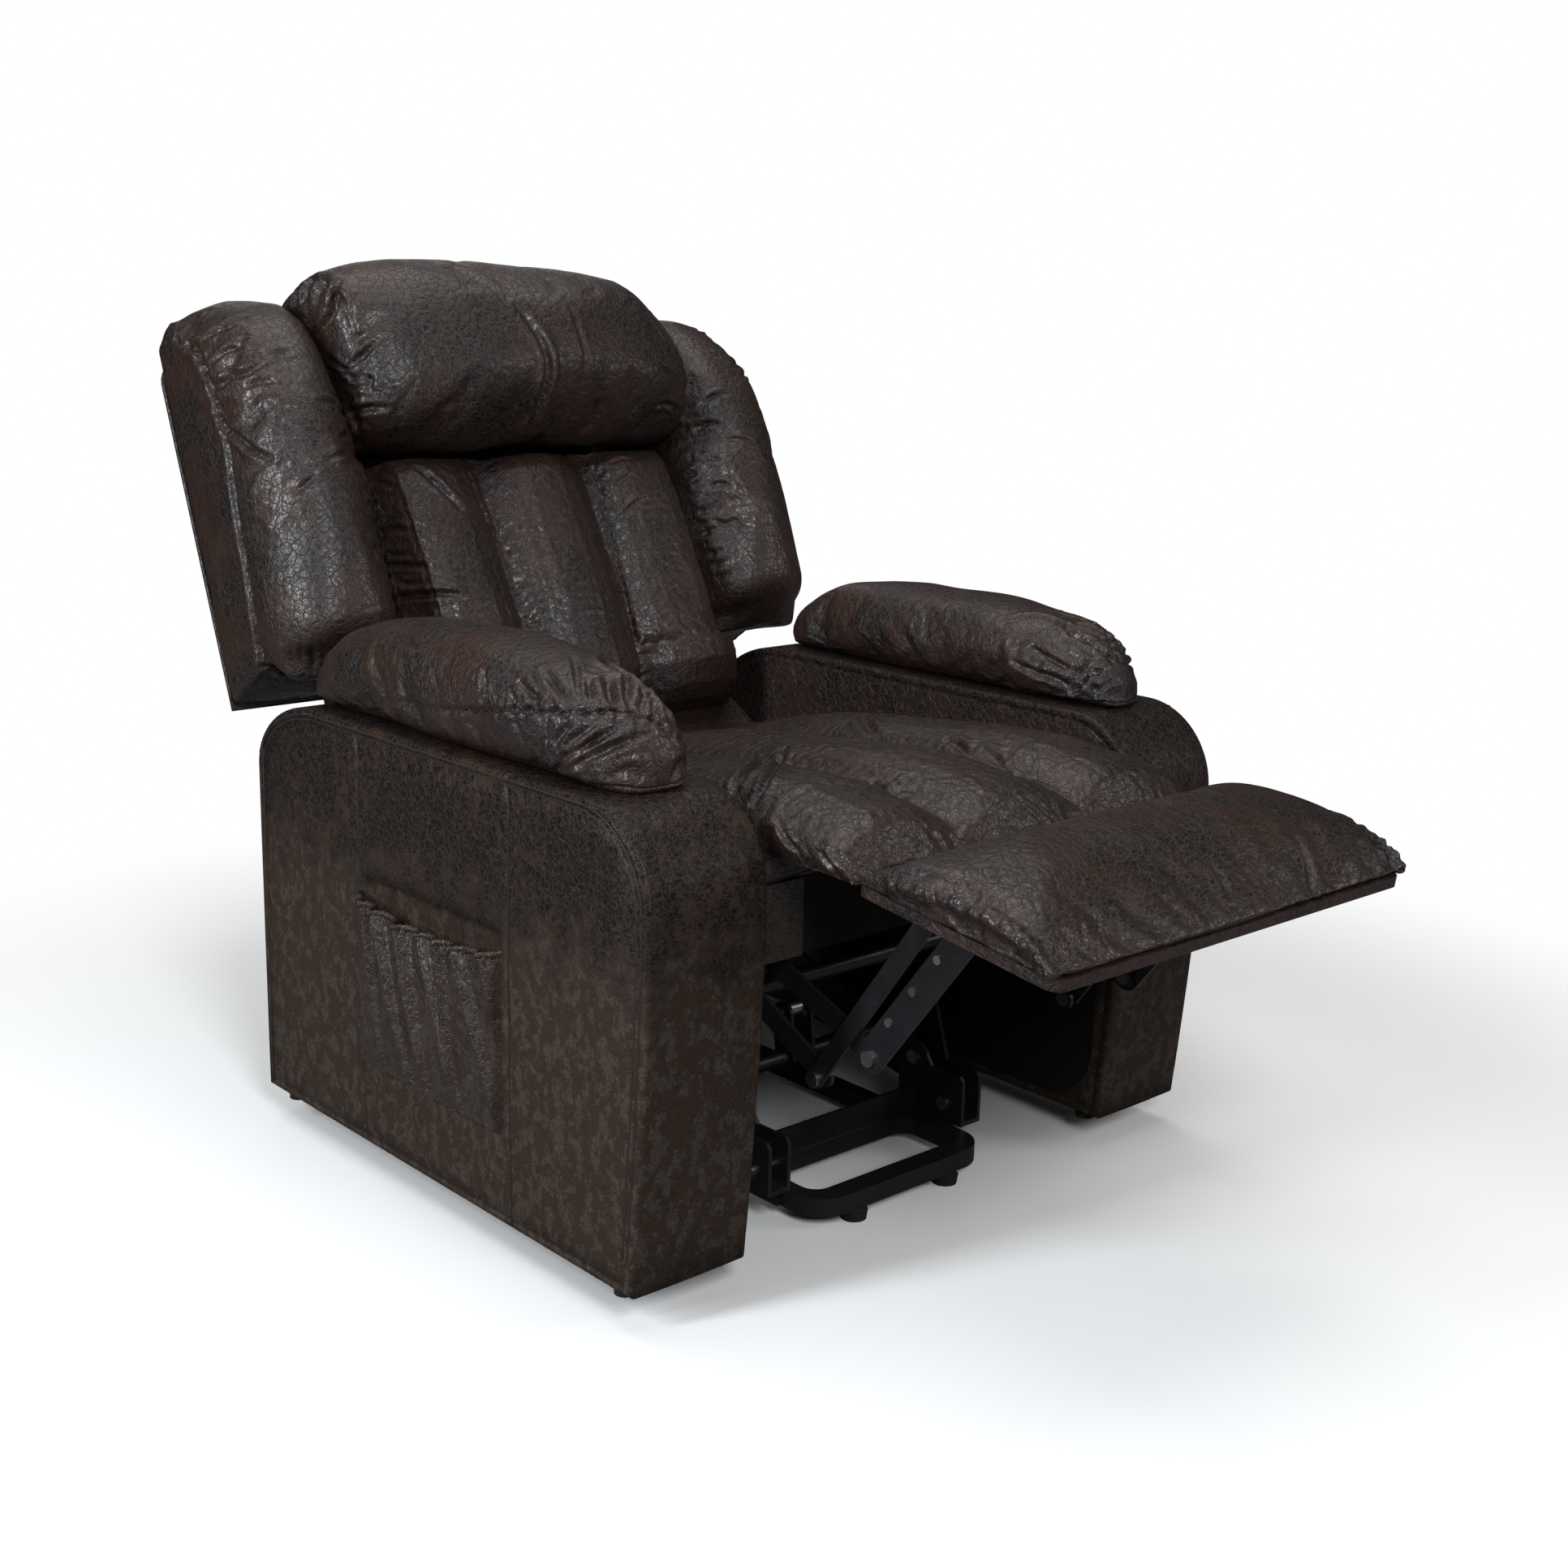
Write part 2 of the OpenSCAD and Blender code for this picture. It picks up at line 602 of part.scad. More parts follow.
// A button stands clear of its well's floor by more than its travel
module button(k) mirror([1, 0, 0])
    translate([remote_x0 + remote_t - 4 + button_travel + 0.3, remote_y0 + remote_w/2, remote_z0 + button_z[k]])
    rotate([0, 90, 0]) cylinder(h = 4 - 0.3, r = button_r);

module button_raise() color("#4d6a52") placed() button(0);

module button_lower() color("#6a4d4d") placed() button(1);

// ---------------------------------------------------------------- footrest links

module lower_links_rear() color(steel) placed() pair()
    link_plate(pivot_r1, knee_1, 13, link_a_x, 0, 0);

module lower_links_front() color(steel) placed() pair()
    link_plate(pivot_r2, knee_2, 13, link_b_x, bolt_play, 0);

// Shaft through both side plates that turns the rear lower links
module drive_shaft() color(steel) placed() {
    cross_tube(pivot_r1, mech_x - gap);
    pair() bolt(pivot_r1, mech_x - 6, link_a_x + link_t, 0, 1.6);
    pair() across(mech_x - 6, 6 - gap) translate(pivot_r1) circle(tube_r);
    levers(pivot_r1, pivot_r1, recline_pin, recline_arm, fold_turn, 1.6);
}

// Stiffening tube between the rear lower links
module drive_tube() color(steel) placed()
    cross_tube(pivot_r1 + 0.483*(knee_1 - pivot_r1), link_a_x);

module knee_bolts_rear() color(zinc) placed() pair()
    bolt(knee_1, link_a_x, link_c_x + link_t, 1.6, pin_head_h);

module knee_bolts_front() color(zinc) placed() pair()
    bolt(knee_2, link_b_x, link_c_x + link_t, 1.6, pin_head_h);

module upper_links_rear() color(steel) placed() pair()
    link_plate(knee_1, foot_pin_a, 11, link_c_x, bolt_play, bolt_play);

module upper_links_front() color(steel) placed() pair() {
    // The upper bore is wider: it takes up what the linkage's two paths differ by
    link_plate(knee_2, foot_pin_b, 18, link_c_x, bolt_play, 2);
}

// Rivet heads on the outer face of the wide links
module link_rivets() color(zinc) placed() pair() for (f = [0.25, 0.5, 0.75])
    across(link_c_x + link_t, 1.6) translate(knee_2 + f*(foot_pin_b - knee_2) + [6, 5]) circle(5);

module footrest_brackets() color(steel) placed() pair() {
    across(bracket_x, link_t) difference() {
        polygon([[-150, 481.5], [-330, 458.5], [-300, 448], [-236, 436], [-214, 438], [-172, 452],
            [-164, 466]]);
        for (p = [foot_pin_a, foot_pin_b]) translate(p) circle(bolt_r);
    }
}

module footrest_bolts() color(zinc) placed() pair() for (p = [foot_pin_a, foot_pin_b])
    bolt(p, link_c_x, bracket_x + link_t, 1.6, pin_head_h);

footrest_half = inner_x - 7;
module footrest_board() color(timber) placed() on_footrest()
    translate([-footrest_half + 40, -footrest_depth + 24, 0])
    cube([2*(footrest_half - 40), footrest_depth - 34, board_t]);

// Leather-wrapped edge around the board, under the rim of the pad
module footrest_edge() color(leather) placed() on_footrest() difference() {
    linear_extrude(board_t) round_rect(-footrest_half + 3, -footrest_depth - 3, footrest_half - 3, 0, 16);
    translate([-footrest_half + 40 - 0.2, -footrest_depth + 24 - 0.2, -1])
        cube([2*(footrest_half - 40) + 0.4, footrest_depth - 34 + 0.4, board_t + 2]);
}

// Pad: rings across the width, each a crowned section over the flat board
footrest_rings = 13;
module footrest_pad() color(leather) placed() on_footrest() loft([for (i = [0:footrest_rings])
    let (t = i/footrest_rings, s = 2*(0.5 - 0.5*cos(180*t)) - 1, fat = 0.55 + 0.45*swell(s, 2.6),
        low = board_t + gap, top = footrest_crown*fat)
    [for (p = section(24, footrest_depth/2 + 3, top, 1, 2.2, 2))
        [s*footrest_half, -footrest_depth/2 - 3 + p[0], low + max(0, p[1])]]], true);

// ---------------------------------------------------------------- back

module back_hinge_arms() color(steel) placed() pair() difference() {
    on_back() across(plate_out + 3, 5) polygon([[-30, -40], [-58, -40], [-58, -150], [-188, -140],
        [-214, -146], [-222, -160], [-212, -174], [-192, -174], [-58, -184], [-30, -170]]);
    across(plate_out, 16) translate(back_pivot) circle(bolt_r + bolt_play);
}

module back_hinge_bolts() color(zinc) placed() pair()
    bolt(back_pivot, mech_x, plate_out + 8.2, pin_head_h, pin_head_h);

back_inner = inner_x - soft_play;
frame_x = plate_out + 8;
// Depth of the frame from its front face to the rear panel
frame_deep = 58;
module back_frame() color(timber) placed() on_back() difference() {
    union() {
        pair() translate([frame_x, -frame_deep, -176]) cube([26, frame_deep - gap, frame_top + 176]);
        for (u = [-170, 120, 430]) translate([-frame_x, -frame_deep + 4, u]) cube([2*frame_x, 34, 40]);
    }
    // rebates for the hinge arms
    pair() translate([frame_x - 5 - gap, -frame_deep - 1, -186]) cube([5 + gap, frame_deep - 28.7, 147]);
}

module back_webbing() color("#4a4a48") placed() on_back() for (k = [0:3])
    translate([-frame_x - 20, -frame_deep - 1.5, -96 + k*110]) cube([2*frame_x + 40, 1.5, 50]);

// Outside of the back, with a top that covers the frame and a return down each side below the wings
frame_top = 474;
panel_low = 180;
panel_top = wing_len - 24;
panel_t = 5;
module back_rear_panel() color(leather_dark) placed() on_back() union() {
    translate([-wing_outer_x + 6, 0, 0]) cube([2*wing_outer_x - 12, panel_t, panel_top]);
    translate([-back_inner, 0, -panel_low]) cube([2*back_inner, panel_t, panel_low]);
    translate([-wing_inner_x + 1, -frame_deep + gap, frame_top + gap])
        cube([2*wing_inner_x - 2, frame_deep + 1, panel_top - frame_top - gap]);
    pair() translate([back_inner - panel_t, -frame_deep + gap, -panel_low])
        cube([panel_t, frame_deep + 1, panel_low - gap]);
}

cushion_base = frame_deep + 1.5 + gap;
cushion_u = [-118, -104, -82, -46, -10, -4, 34, 74, 114, 154, 194, 228, 256, 276, 284];
cushion_w = [[-118, 240], [-60, 250], [40, 244], [100, 238], [200, 222], [263, 209], [284, 190]];
module back_cushion() color(leather) placed() on_back() rotate([90, 0, 0]) loft([for (u = cushion_u)
    let (nose = swell(1 - min(1, (u - cushion_u[0])/80), 2.2),
        top = cushion_base + (lookup(u, cushion_w) - cushion_base)*(0.55 + 0.45*nose))
    slab(u, (u < -4 ? back_inner : wing_inner_x - 2) - 1, top, cushion_base, 1)]);

pillow_u0 = 287;
pillow_half = 275;
pillow_rings = 14;
module head_pillow() color(leather) placed() on_back() loft([for (i = [0:pillow_rings])
    let (t = i/pillow_rings, s = 2*(0.5 - 0.5*cos(180*t)) - 1, x = pillow_half*s,
        mid = (pillow_u0 + pillow_top_u)/2, rise = (pillow_top_u - mid)*(0.5 + 0.5*swell(s, 3.4)),
        drop = (mid - pillow_u0)*(0.8 + 0.2*swell(s, 4)), deep = 112*(0.62 + 0.38*swell(s, 3)))
    [for (p = section(24, deep, rise, drop, 2.6, 3)) [x, -frame_deep - gap - deep - p[0], mid + p[1]]]], true);

// Forward bulge of a wing at height u: full in the lower half, rolling back to the top
function wing_fore(u) = u < 150
    ? wing_bulge*(0.8 + 0.2*swell((150 - u)/150, 4))
    : wing_bulge*max(0.26, swell((u - 150)/(wing_len - 148), 2.9));
wing_inner_x = 264;
wing_rings = 14;
// A wing stands against the back cushion below and against the head pillow above
module wing() on_back() loft([for (i = [0:wing_rings])
    let (t = i/wing_rings, u = wing_len*(t < 0.5 ? t*1.1 : 0.55 + (t - 0.5)*0.9), fore = wing_fore(u),
        inner = u < pillow_u0 - 30 ? wing_inner_x : pillow_half + gap,
        half = (wing_outer_x - inner)/2*(0.82 + 0.18*swell((u - 200)/(wing_len - 190), 3)))
    [for (p = section(22, half, fore - fore*0.4 - gap, fore*0.4 - gap, 3.2, 8))
        [(wing_outer_x + inner)/2 + p[0], -fore*0.4 - p[1], u]]]);

module wing_left() color(leather) placed() wing();

module wing_right() color(leather) placed() mirror([1, 0, 0]) wing();

// ---------------------------------------------------------------- nodes

base_loop();
base_rear_bar();
base_towers();
base_feet();
base_bolts();
motor_bracket();
lift_front_links();
lift_rear_links();
lift_cross_tube();
lift_motor_housing();
lift_motor_tube();
lift_push_rod();
side_plates();
mech_cross_tubes();
mech_bolts();
seat_frame();
seat_webbing();
seat_cushion();
seat_apron();
apron_ends();
arm_box_right();
arm_box_left();
arm_pad_right();
arm_pad_left();
arm_inner_panels();
arm_liners();
arm_glides();
pocket();
hand_control();
button_raise();
button_lower();
control_box();
power_inlet();
recline_motor();
recline_motor_tube();
recline_push_rod();
seat_flap();
lower_links_rear();
lower_links_front();
drive_shaft();
drive_tube();
knee_bolts_rear();
knee_bolts_front();
upper_links_rear();
upper_links_front();
link_rivets();
footrest_brackets();
footrest_bolts();
footrest_board();
footrest_edge();
footrest_pad();
back_hinge_arms();
back_hinge_bolts();
back_frame();
back_webbing();
back_rear_panel();
back_cushion();
head_pillow();
wing_right();
wing_left();
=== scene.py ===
import math
import random

import bmesh
import bpy
import numpy as np
from mathutils import Matrix, Vector, noise
from mathutils.bvhtree import BVHTree


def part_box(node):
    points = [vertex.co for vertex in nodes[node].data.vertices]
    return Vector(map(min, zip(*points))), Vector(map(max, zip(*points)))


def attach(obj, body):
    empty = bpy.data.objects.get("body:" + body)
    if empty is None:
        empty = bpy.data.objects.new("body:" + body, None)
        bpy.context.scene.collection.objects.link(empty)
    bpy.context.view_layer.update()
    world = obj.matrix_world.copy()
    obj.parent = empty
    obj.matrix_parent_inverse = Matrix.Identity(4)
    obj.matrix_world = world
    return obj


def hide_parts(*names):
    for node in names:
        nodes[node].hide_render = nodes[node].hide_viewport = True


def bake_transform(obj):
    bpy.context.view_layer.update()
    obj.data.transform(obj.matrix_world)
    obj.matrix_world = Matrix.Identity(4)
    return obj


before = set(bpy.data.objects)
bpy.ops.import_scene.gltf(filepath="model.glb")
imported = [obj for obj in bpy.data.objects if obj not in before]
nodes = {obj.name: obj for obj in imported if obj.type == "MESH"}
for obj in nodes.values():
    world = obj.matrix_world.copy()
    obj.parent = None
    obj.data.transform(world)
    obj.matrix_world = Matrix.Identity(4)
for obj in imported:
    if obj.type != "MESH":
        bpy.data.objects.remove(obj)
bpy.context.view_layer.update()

scene = bpy.context.scene
armFront = -0.334                # y of the lower front edge of the arms, which the sizes below start from
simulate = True
print("frame loaded,", len(nodes), "nodes")

# camera, lamps and floor

cameraSpec = dict(place=(-1.6437, -1.8404, 1.0588), azimuth=-42.578, elevation=13.592, roll=1.473,
                  lens=46.53, sensor=36.0, imageSize=1932)
lampSpec = dict(
    key=dict(place=(-1.5, -2.9, 2.3), aim=(0, 0, 0.7), size=(0.8, 1.3), power=64, colour=(0.94, 0.97, 1.0)),
    side=dict(place=(-3.0, 0.2, 1.7), aim=(0, 0, 0.7), size=(0.5, 1.8), power=70, colour=(0.93, 0.97, 1.0)),
    fill=dict(place=(2.4, -2.8, 1.9), aim=(0, 0, 0.5), size=(1.8, 1.6), power=24, colour=(1.0, 0.98, 0.96)),
    top=dict(place=(0.1, 0.4, 3.2), aim=(0, 0, 0.6), size=(2.6, 2.6), power=42, colour=(1.0, 0.99, 0.97)),
    rear=dict(place=(1.4, 3.0, 1.9), aim=(0, 0, 0.6), size=(1.8, 1.8), power=5, colour=(1.0, 1.0, 1.0)),
)
floorSpec = dict(size=14.0, seen=1.2, unseen=0.22, fadeFrom=0.95, fadeTo=1.75, ambient=0.045)


def cameraAxes(spec):
    az, el, roll = (math.radians(spec[k]) for k in ("azimuth", "elevation", "roll"))
    right = Vector((math.cos(az), math.sin(az), 0))
    back = Vector((math.sin(az) * math.cos(el), -math.cos(az) * math.cos(el), math.sin(el)))
    up = back.cross(right)
    return math.cos(roll) * right + math.sin(roll) * up, math.cos(roll) * up - math.sin(roll) * right, back


def makeCamera(spec):
    data = bpy.data.cameras.new("studioCamera")
    data.lens, data.sensor_width = spec["lens"], spec["sensor"]
    data.clip_start, data.clip_end = 0.05, 60
    camera = bpy.data.objects.new("studioCamera", data)
    scene.collection.objects.link(camera)
    axes = Matrix(cameraAxes(spec)).transposed()
    camera.matrix_world = Matrix.Translation(spec["place"]) @ axes.to_4x4()
    scene.camera = camera


# direction from the camera through a point of its view, counted in pixels from the top left
def viewRay(px, py):
    right, up, back = cameraAxes(cameraSpec)
    half = cameraSpec["imageSize"] / 2
    focal = cameraSpec["lens"] / cameraSpec["sensor"] * cameraSpec["imageSize"]
    return (right * ((px - half) / focal) - up * ((py - half) / focal) - back).normalized()


def makeLamps(spec):
    for name, lamp in spec.items():
        data = bpy.data.lights.new(name + "Lamp", "AREA")
        data.shape, data.energy, data.color = "RECTANGLE", lamp["power"], lamp["colour"]
        data.size, data.size_y = lamp["size"]
        thing = bpy.data.objects.new(name + "Lamp", data)
        scene.collection.objects.link(thing)
        thing.location = lamp["place"]
        aim = Vector(lamp["aim"]) - Vector(lamp["place"])
        thing.rotation_euler = aim.to_track_quat("-Z", "Y").to_euler()


# a node socket that takes part in sums
class Wire:
    def __init__(self, finish, socket):
        self.finish, self.socket = finish, socket

    def maths(self, operation, first, second):
        return self.finish.node("Math", {"operation": operation}, {0: first, 1: second})

    def __add__(self, other):
        return self.maths("ADD", self, other)

    __radd__ = __add__

    def __mul__(self, other):
        return self.maths("MULTIPLY", self, other)

    __rmul__ = __mul__

    def __sub__(self, other):
        return self.maths("SUBTRACT", self, other)

    def __rsub__(self, other):
        return self.maths("SUBTRACT", other, self)

    def __abs__(self):
        return self.finish.node("Math", {"operation": "ABSOLUTE"}, {0: self})


# a material's nodes: node() makes one of any type, its settings first, then its sockets
class Finish:
    def __init__(self, name, tree=None):
        if tree is None:
            self.material = bpy.data.materials.new(name)
            self.material.use_nodes = True
            tree = self.material.node_tree
        self.tree = tree
        self.shader = tree.nodes.get("Principled BSDF")

    def node(self, kind, settings, values, out=0):
        made = self.tree.nodes.new("ShaderNode" + kind)
        for key, value in settings.items():
            setattr(made, key, value)
        for key, value in values.items():
            self.plug(made.inputs[key], value)
        return Wire(self, made.outputs[out])

    def plug(self, socket, value):
        if isinstance(value, Wire):
            self.tree.links.new(value.socket, socket)
        else:
            socket.default_value = value

    def set(self, **values):
        for key, value in values.items():
            self.plug(self.shader.inputs[key.replace("_", " ")], value)

    # place on the piece, stretched and pushed about by noise
    def place(self, stretch=(1, 1, 1), wobble=0.0, wobbleScale=10.0):
        here = self.node("TexCoord", {}, {}, "Object")
        if stretch != (1, 1, 1):
            here = self.node("Mapping", {}, {"Vector": here, "Scale": stretch})
        if wobble:
            push = self.node("TexNoise", {}, {"Vector": here, "Scale": wobbleScale, "Detail": 2.0}, "Color")
            here = self.node("VectorMath", {"operation": "MULTIPLY_ADD"},
                             {0: push, 1: (wobble,) * 3, 2: here})
        return here

    def part(self, where, axis):
        return self.node("SeparateXYZ", {}, {"Vector": where}, axis)

    def noise(self, where, scale, detail=3.0, rough=0.55):
        return self.node("TexNoise", {},
                         {"Vector": where, "Scale": scale, "Detail": detail, "Roughness": rough})

    # distance to the edges between cells
    def cells(self, where, scale):
        return self.node("TexVoronoi", {"feature": "DISTANCE_TO_EDGE"},
                         {"Vector": where, "Scale": scale}, "Distance")

    # thin lines between cells, 1 on the line
    def cracks(self, where, scale, width):
        return 1 - self.ramp(self.cells(where, scale), 0.0, width)

    def larger(self, first, second):
        return self.node("Math", {"operation": "MAXIMUM"}, {0: first, 1: second})

    # wandering strands where noise passes its middle value, 1 on the strand
    def strands(self, where, scale, width):
        return 1 - self.ramp(abs(self.noise(where, scale, 2.0, 0.5) - 0.5), 0.0, width)

    def ramp(self, value, low, high):
        return self.node("MapRange", {"interpolation_type": "SMOOTHSTEP"},
                         {"Value": value, "From Min": low, "From Max": high})

    def mix(self, factor, first, second):
        tint = [(*c, 1) if isinstance(c, tuple) else c for c in (first, second)]
        return self.node("Mix", {"data_type": "RGBA"}, {"Factor": factor, 6: tint[0], 7: tint[1]}, 2)

    def bump(self, height, strength, depth):
        return self.node("Bump", {}, {"Height": height, "Strength": strength, "Distance": depth})


leatherLook = dict(brown=(0.030, 0.0140, 0.0095), pale=(0.046, 0.0255, 0.0190), dark=(0.0035, 0.0030, 0.0033),
                   vein=(0.058, 0.034, 0.026), patchScale=10.0, patchFrom=0.47, webScale=125.0,
                   crackleScale=70.0, shine=0.19, matt=0.38, level=0.55)
panelLook = dict(leatherLook, brown=(0.036, 0.0225, 0.0150), pale=(0.072, 0.057, 0.046),
                 vein=(0.064, 0.036, 0.027), shine=0.44, matt=0.62, level=0.26)
pocketLook = dict(panelLook, brown=(0.028, 0.0165, 0.0110), pale=(0.050, 0.036, 0.027),
                  shine=0.20, matt=0.36, level=0.5)
sideFade = (0.34, 0.46)          # heights between which the arms turn from plain to worn


# worn leather: brown ground, near-black speckled patches with brown veins, and crackle that breaks the shine
def leatherFinish(name, look, fade=None):
    f = Finish(name)
    plain = f.place()
    bent = f.place(wobble=0.012, wobbleScale=45.0)
    loose = f.place(wobble=0.022, wobbleScale=30.0)
    patches = f.noise(plain, look["patchScale"], 4.0, 0.62)
    speckle = f.noise(bent, 75.0, 4.0, 0.75)
    cloudy = f.noise(plain, look["patchScale"] * 2.6, 4.0, 0.6)
    web = f.cracks(bent, look["webScale"], 0.07)
    strands = f.larger(f.strands(loose, 62.0, 0.016), f.strands(loose, 118.0, 0.026))
    veins = f.larger(web * 0.8, strands)
    crackle = f.cracks(bent, look["crackleScale"], 0.05)
    fine = f.cracks(bent, look["crackleScale"] * 2.3, 0.07)
    cracked = f.larger(crackle, fine * 0.6)
    grain = f.noise(plain, 650.0, 2.0)
    start = look["patchFrom"]
    worn = f.ramp(patches + (speckle - 0.5) * 0.75, start, start + 0.07)
    pale = f.ramp(cloudy, 0.50, 0.70) * 0.6
    creases = cracked * 0.45
    gloss = 0.0
    if fade is not None:
        blotch = f.noise(f.place((1, 1, 0.75), 0.02, 30.0), 62.0, 5.0, 0.68)
        rise = f.ramp(f.part(plain, "Z") + (cloudy - 0.5) * 0.30, fade[0], fade[1])
        worn = rise * f.ramp(speckle + (patches - 0.5) * 0.8, 0.36, 0.44)
        pale = f.ramp(blotch + (cloudy - 0.5) * 0.25, 0.50, 0.545) * (1 - rise) * (1 - web) * 0.8
        creases = cracked * 0.30 * (1 - rise)
        gloss = rise * 0.20
    ground = f.mix(pale, look["brown"], look["pale"])
    ground = f.mix(worn, ground, look["dark"])
    colour = f.mix(veins * (worn * 0.72 + 0.06), ground, look["vein"])
    colour = f.mix(creases * (1 - worn * 0.8), colour, look["dark"])
    rough = (look["shine"] + (look["matt"] - look["shine"]) * cloudy + cracked * 0.30 + worn * 0.06
             + (speckle - 0.5) * 0.16 + grain * 0.05 - gloss)
    swell = f.ramp(f.cells(bent, look["crackleScale"]), 0.0, 0.42)
    relief = cloudy * 0.3 - cracked * 0.55 + swell * 0.6 - web * 0.10 + strands * 0.14 + grain * 0.10
    f.set(Base_Color=colour, Roughness=rough, Normal=f.bump(relief, 0.6, 0.0010),
          Specular_IOR_Level=look["level"])
    return f.material


def plainFinish(name, colour, rough, metal=0.0, speck=0.0, scale=220.0, relief=0.0, level=0.5):
    f = Finish(name)
    here = f.place()
    cloud = f.noise(here, scale * 0.12, 3.0)
    grain = f.noise(here, scale, 3.0)
    f.set(Base_Color=f.mix(cloud * speck, colour, tuple(min(1.0, c * 1.9 + 0.004) for c in colour)),
          Roughness=rough + (cloud - 0.5) * 0.16 + (grain - 0.5) * 0.08, Metallic=metal,
          Specular_IOR_Level=level)
    if relief:
        f.set(Normal=f.bump(grain, 0.4, relief))
    return f.material


# woven cloth: two crossed threads seen as fine bumps
def clothFinish(name, colour, pitch, rough=0.9):
    f = Finish(name)
    here = f.place()
    x, y, z = (f.part(here, axis) for axis in "XYZ")
    over = f.node("Math", {"operation": "SINE"}, {0: (x + z) * (2 * math.pi / pitch)})
    under = f.node("Math", {"operation": "SINE"}, {0: (y + z) * (2 * math.pi / pitch)})
    weave = over * 0.25 + under * 0.25 + 0.5
    cloud = f.noise(here, 30.0, 3.0)
    f.set(Base_Color=f.mix(weave * 0.5 + cloud * 0.3, colour, tuple(c * 1.8 + 0.003 for c in colour)),
          Roughness=rough - weave * 0.08, Normal=f.bump(weave + cloud * 0.3, 0.5, 0.0006),
          Specular_IOR_Level=0.25)
    return f.material


# timber with its grain along X
def timberFinish(name):
    f = Finish(name)
    here = f.place((0.07, 1, 1), wobble=0.01, wobbleScale=12.0)
    rings = f.node("TexWave", {"wave_type": "BANDS", "bands_direction": "Z"},
                   {"Vector": here, "Scale": 28.0, "Distortion": 6.0, "Detail": 3.0, "Detail Scale": 2.0},
                   "Fac")
    grain = f.noise(here, 420.0, 3.0)
    f.set(Base_Color=f.mix(rings * 0.7 + grain * 0.3, (0.42, 0.27, 0.13), (0.24, 0.13, 0.06)),
          Roughness=0.62 + grain * 0.15, Normal=f.bump(rings * 0.4 + grain, 0.25, 0.0005))
    return f.material


leather = leatherFinish("wornLeather", leatherLook)
sideLeather = leatherFinish("wornSideLeather", panelLook, sideFade)
pocketLeather = leatherFinish("wornPocketLeather", pocketLook, sideFade)
blackSteel = plainFinish("blackSteel", (0.010, 0.010, 0.012), 0.34, speck=0.5, scale=300.0, relief=0.0002)
zincSteel = plainFinish("zincSteel", (0.42, 0.43, 0.44), 0.34, metal=1.0, speck=0.25, scale=400.0)
rubberFinish = plainFinish("rubber", (0.012, 0.012, 0.012), 0.75, speck=0.6, scale=500.0, relief=0.0003,
                           level=0.3)
plasticFinish = plainFinish("blackPlastic", (0.016, 0.016, 0.018), 0.48, speck=0.3, scale=900.0,
                            relief=0.00015)
buttonFinish = plainFinish("buttonPlastic", (0.20, 0.21, 0.22), 0.5, speck=0.15, scale=700.0)
webbingFinish = clothFinish("webbing", (0.05, 0.05, 0.048), 0.004)
blackCloth = clothFinish("blackCloth", (0.006, 0.006, 0.007), 0.0022)
timber = timberFinish("timber")
threadFinish = plainFinish("thread", (0.020, 0.013, 0.011), 0.62, speck=0.3, scale=900.0)
print("materials made")


# pale floor that keeps the shadow near the chair and turns white away from it
def makeStage(spec):
    f = Finish("studioFloor")
    here = f.place()
    spread = f.node("VectorMath", {"operation": "LENGTH"}, {0: here}, "Value")
    far = f.ramp(spread, spec["fadeFrom"], spec["fadeTo"])
    seen = f.node("LightPath", {}, {}, "Is Camera Ray")
    tone = seen * (spec["seen"] - spec["unseen"]) + spec["unseen"]
    near = f.node("BsdfDiffuse", {}, {"Color": f.node("CombineColor", {}, {0: tone, 1: tone, 2: tone})})
    white = f.node("Emission", {}, {"Color": (1, 1, 1, 1), "Strength": 1.0})
    both = f.node("MixShader", {}, {0: far * seen, 1: near, 2: white})
    f.tree.links.new(both.socket, f.tree.nodes["Material Output"].inputs["Surface"])
    f.tree.nodes.remove(f.shader)
    bm = bmesh.new()
    bmesh.ops.create_grid(bm, x_segments=1, y_segments=1, size=spec["size"])
    addPiece("studioFloor", bm, f.material)
    world = bpy.data.worlds.new("studio")
    scene.world = world
    world.use_nodes = True
    w = Finish("studio", world.node_tree)
    white = w.node("LightPath", {}, {}, "Is Camera Ray")
    background = world.node_tree.nodes["Background"]
    background.inputs["Color"].default_value = (1, 1, 1, 1)
    w.plug(background.inputs["Strength"], spec["ambient"] + white * (1 - spec["ambient"]))


def addPiece(name, bm, material=None):
    mesh = bpy.data.meshes.new(name)
    bm.to_mesh(mesh)
    bm.free()
    piece = bpy.data.objects.new(name, mesh)
    scene.collection.objects.link(piece)
    if material is not None:
        mesh.materials.append(material)
    smoothShade(piece)
    return piece


def smoothShade(piece):
    piece.data.polygons.foreach_set("use_smooth", [True] * len(piece.data.polygons))


# what a new piece stands for: its body, and the CAD nodes it takes the place of, which are hidden
def settle(piece, body, slot, *replaced):
    if body:
        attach(piece, body)
    if replaced:
        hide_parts(*replaced)
    return piece


# a merged copy of CAD nodes to start a soft piece from
def cadCopy(*names):
    bm = bmesh.new()
    for name in names:
        bm.from_mesh(nodes[name].data)
    bmesh.ops.remove_doubles(bm, verts=bm.verts, dist=1e-5)
    return bm


def bakeModifiers(piece):
    graph = bpy.context.evaluated_depsgraph_get()
    done = bpy.data.meshes.new_from_object(piece.evaluated_get(graph))
    piece.modifiers.clear()
    old, piece.data = piece.data, done
    bpy.data.meshes.remove(old)


def modify(piece, kind, **settings):
    made = piece.modifiers.new(kind.lower(), kind)
    for key, value in settings.items():
        setattr(made, key, value)
    bakeModifiers(piece)


